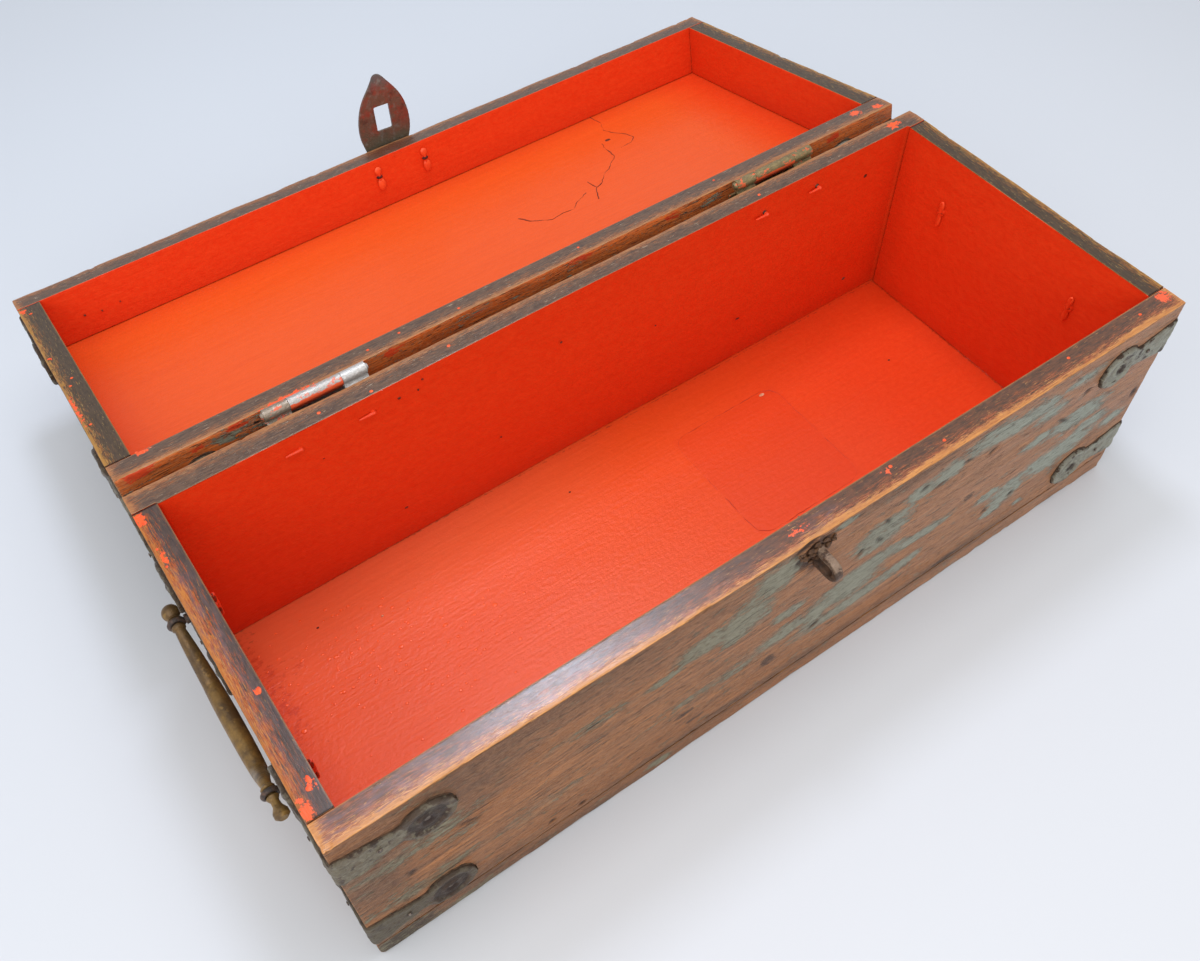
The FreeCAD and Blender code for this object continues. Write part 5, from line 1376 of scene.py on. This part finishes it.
# %% [markdown]
# The hasp was forged from one flat piece of iron and oiled, and its red-brown skin is rubbed grey on the
# high spots. The staple is a rougher bent rod, worn pale on the bow that the hasp's slot passes over, and
# painted paler towards its top as a painted highlight. The wood round its legs has torn out in crumbs.
# Iron this dull reads best as mostly not metallic.

# %% Forged iron of the hasp
forged_iron, tree, shader = new_finish("forged_iron_oiled_brown")
spot = add(tree, "ShaderNodeTexCoord", out="Object")
height = add(tree, "ShaderNodeSeparateXYZ", {0: spot}, out="Z")
red = streaks(tree, spot, 9.0, 9.0, 0.44, 0.58, seed=61.0, detail=7.0, rough=0.62)
grey = streaks(tree, spot, 5.0, 5.0, 0.52, 0.64, seed=62.0, detail=6.0, rough=0.62)
dark = streaks(tree, spot, 7.0, 7.0, 0.54, 0.66, seed=66.0, detail=6.0)
pitted = streaks(tree, spot, 1.6, 1.6, 0.3, 0.7, seed=63.0, detail=5.0)
foot = add(tree, "ShaderNodeMapRange", {"Value": height, "From Min": 128.0 * MM, "From Max": 114.0 * MM})
tip = add(tree, "ShaderNodeMapRange", {"Value": height, "From Min": 156.0 * MM, "From Max": 164.0 * MM})
iron = coats(tree, "#6A5242", (share(tree, red, 0.85), "#8A3E2E"), (share(tree, dark, 0.7), "#4A3228"),
             (share(tree, foot, 0.85), "#625A48"), (share(tree, tip, 0.75), "#4E4846"),
             (share(tree, grey, 0.7), "#7C746A"), (share(tree, pitted, 0.3), "#3A2E28"))
surface(tree, shader, iron, sheen(tree, 0.42, (grey, 0.34)), pitted, 0.18, metallic=0.2)
print("hasp:", forged_iron.name)

# %% Forged iron of the staple and the torn wood round it
staple_iron, tree, shader = new_finish("forged_iron_worn_pale")
spot = add(tree, "ShaderNodeTexCoord", out="Object")
height = add(tree, "ShaderNodeSeparateXYZ", {0: spot}, out="Z")
# Paler towards the top of the bow: partly wear, partly a painted highlight.
upper = add(tree, "ShaderNodeMapRange", {"Value": height, "From Min": 147.0 * MM, "From Max": 154.0 * MM,
                                         "To Min": -0.14, "To Max": 0.06})
pale = streaks(tree, spot, 5.0, 2.6, 0.5, 0.58, seed=64.0, detail=7.0, rough=0.68, lift=upper)
pitted = streaks(tree, spot, 1.8, 1.8, 0.34, 0.66, seed=65.0, detail=6.0, rough=0.65)
crusted = streaks(tree, spot, 4.0, 4.0, 0.42, 0.6, seed=67.0, detail=6.0)
iron = coats(tree, "#4E392B", (share(tree, pitted, 0.7), "#261B16"), (share(tree, crusted, 0.6), "#6C4A32"),
             (share(tree, pale, 0.8), "#9C8470"))
surface(tree, shader, iron, sheen(tree, 0.45, (pale, 0.3)), pitted, 0.4,
        metallic=sheen(tree, 0.1, (pale, 0.5)))
crumb_draw = random.Random(32)
crumbs = [(crumb_draw.gauss(-5, 5.5), FRONT_FACE + 0.1, crumb_draw.gauss(155, 6.0),
           *(crumb_draw.uniform(least, most) for least, most in ((0.8, 2.4), (0.6, 1.5), (0.7, 2.0))))
          for k in range(34)]
spots("torn_wood_round_the_staple", "base", [c for c in crumbs if 140 < c[2] < 166.5],
      plain_coat("torn_dirty_wood", "#3A271C", "#6A4A30", 1.6, 0.7), ragged=0.45, seed=13.0)
print("staple:", staple_iron.name)

# %% [markdown]
# The handles are cast brass. The skin of the casting stays a little rough, and the years have darkened it
# to brown in clouds, with dull gold where hands still touch it. Their back half is painted darker as shade.

# %% Handle brass
handle_brass, tree, shader = new_finish("cast_brass_darkened")
spot = add(tree, "ShaderNodeTexCoord", out="Object")
dull = streaks(tree, spot, 12.0, 12.0, 0.42, 0.6, seed=71.0, detail=7.0, rough=0.62)
worn = streaks(tree, spot, 5.0, 5.0, 0.57, 0.66, seed=72.0, detail=6.0)
cast_skin = streaks(tree, spot, 1.8, 1.8, 0.3, 0.7, seed=73.0, detail=5.0)
# Painted shade: each handle is painted darker towards the back of the chest.
towards_back = add(tree, "ShaderNodeSeparateXYZ", {0: spot}, out="Y")
shaded = add(tree, "ShaderNodeMapRange", {"Value": towards_back, "From Min": -0.03, "From Max": 0.06})
brass = coats(tree, "#A07E46", (share(tree, shaded, 0.6), "#5E442E"), (share(tree, dull, 0.85), "#54402A"),
              (share(tree, worn, 0.7), "#A07E46"), (share(tree, cast_skin, 0.25), "#33241A"))
surface(tree, shader, brass, sheen(tree, 0.36, (dull, 0.46)), cast_skin, 0.16,
        metallic=sheen(tree, 0.45, (dull, 0.25)))
print("handle:", handle_brass.name)

# %% Give the metal pieces their finishes
METAL = {
    "strap_nails": nail_iron, "handle": handle_brass, "leaf": hinge_steel,
    "hinge_pin": hinge_steel, "hasp_leaf": forged_iron, "hasp_pin": forged_iron,
    "front_staple": staple_iron, "left_handle_split_pins": base_fasteners,
    "right_handle_split_pins": base_fasteners, "hasp_split_pins": lid_fasteners,
    "base_hinge_nails": base_fasteners, "lid_hinge_nails": lid_fasteners,
    "base_wall_nails": base_fasteners, "bottom_board_nails": base_fasteners,
    "lid_wall_nails": lid_fasteners, "lid_top_nails": lid_fasteners,
}
dressed = 0
for name, node in nodes.items():
    if name in boards or name.endswith("_strap"):
        continue
    ending = max((key for key in METAL if name.endswith(key)), key=len)
    for slot in node.material_slots:
        slot.material = METAL[ending]
    dressed += 1
print("metal nodes dressed:", dressed)

# %% [markdown]
# ## Size of the dressed chest
# The dressed chest has to keep the size of the solid one, so its box is printed.

# %% Sizes and finish
low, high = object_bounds()
print("visual model:", [round(v, 4) for v in high - low], "m")
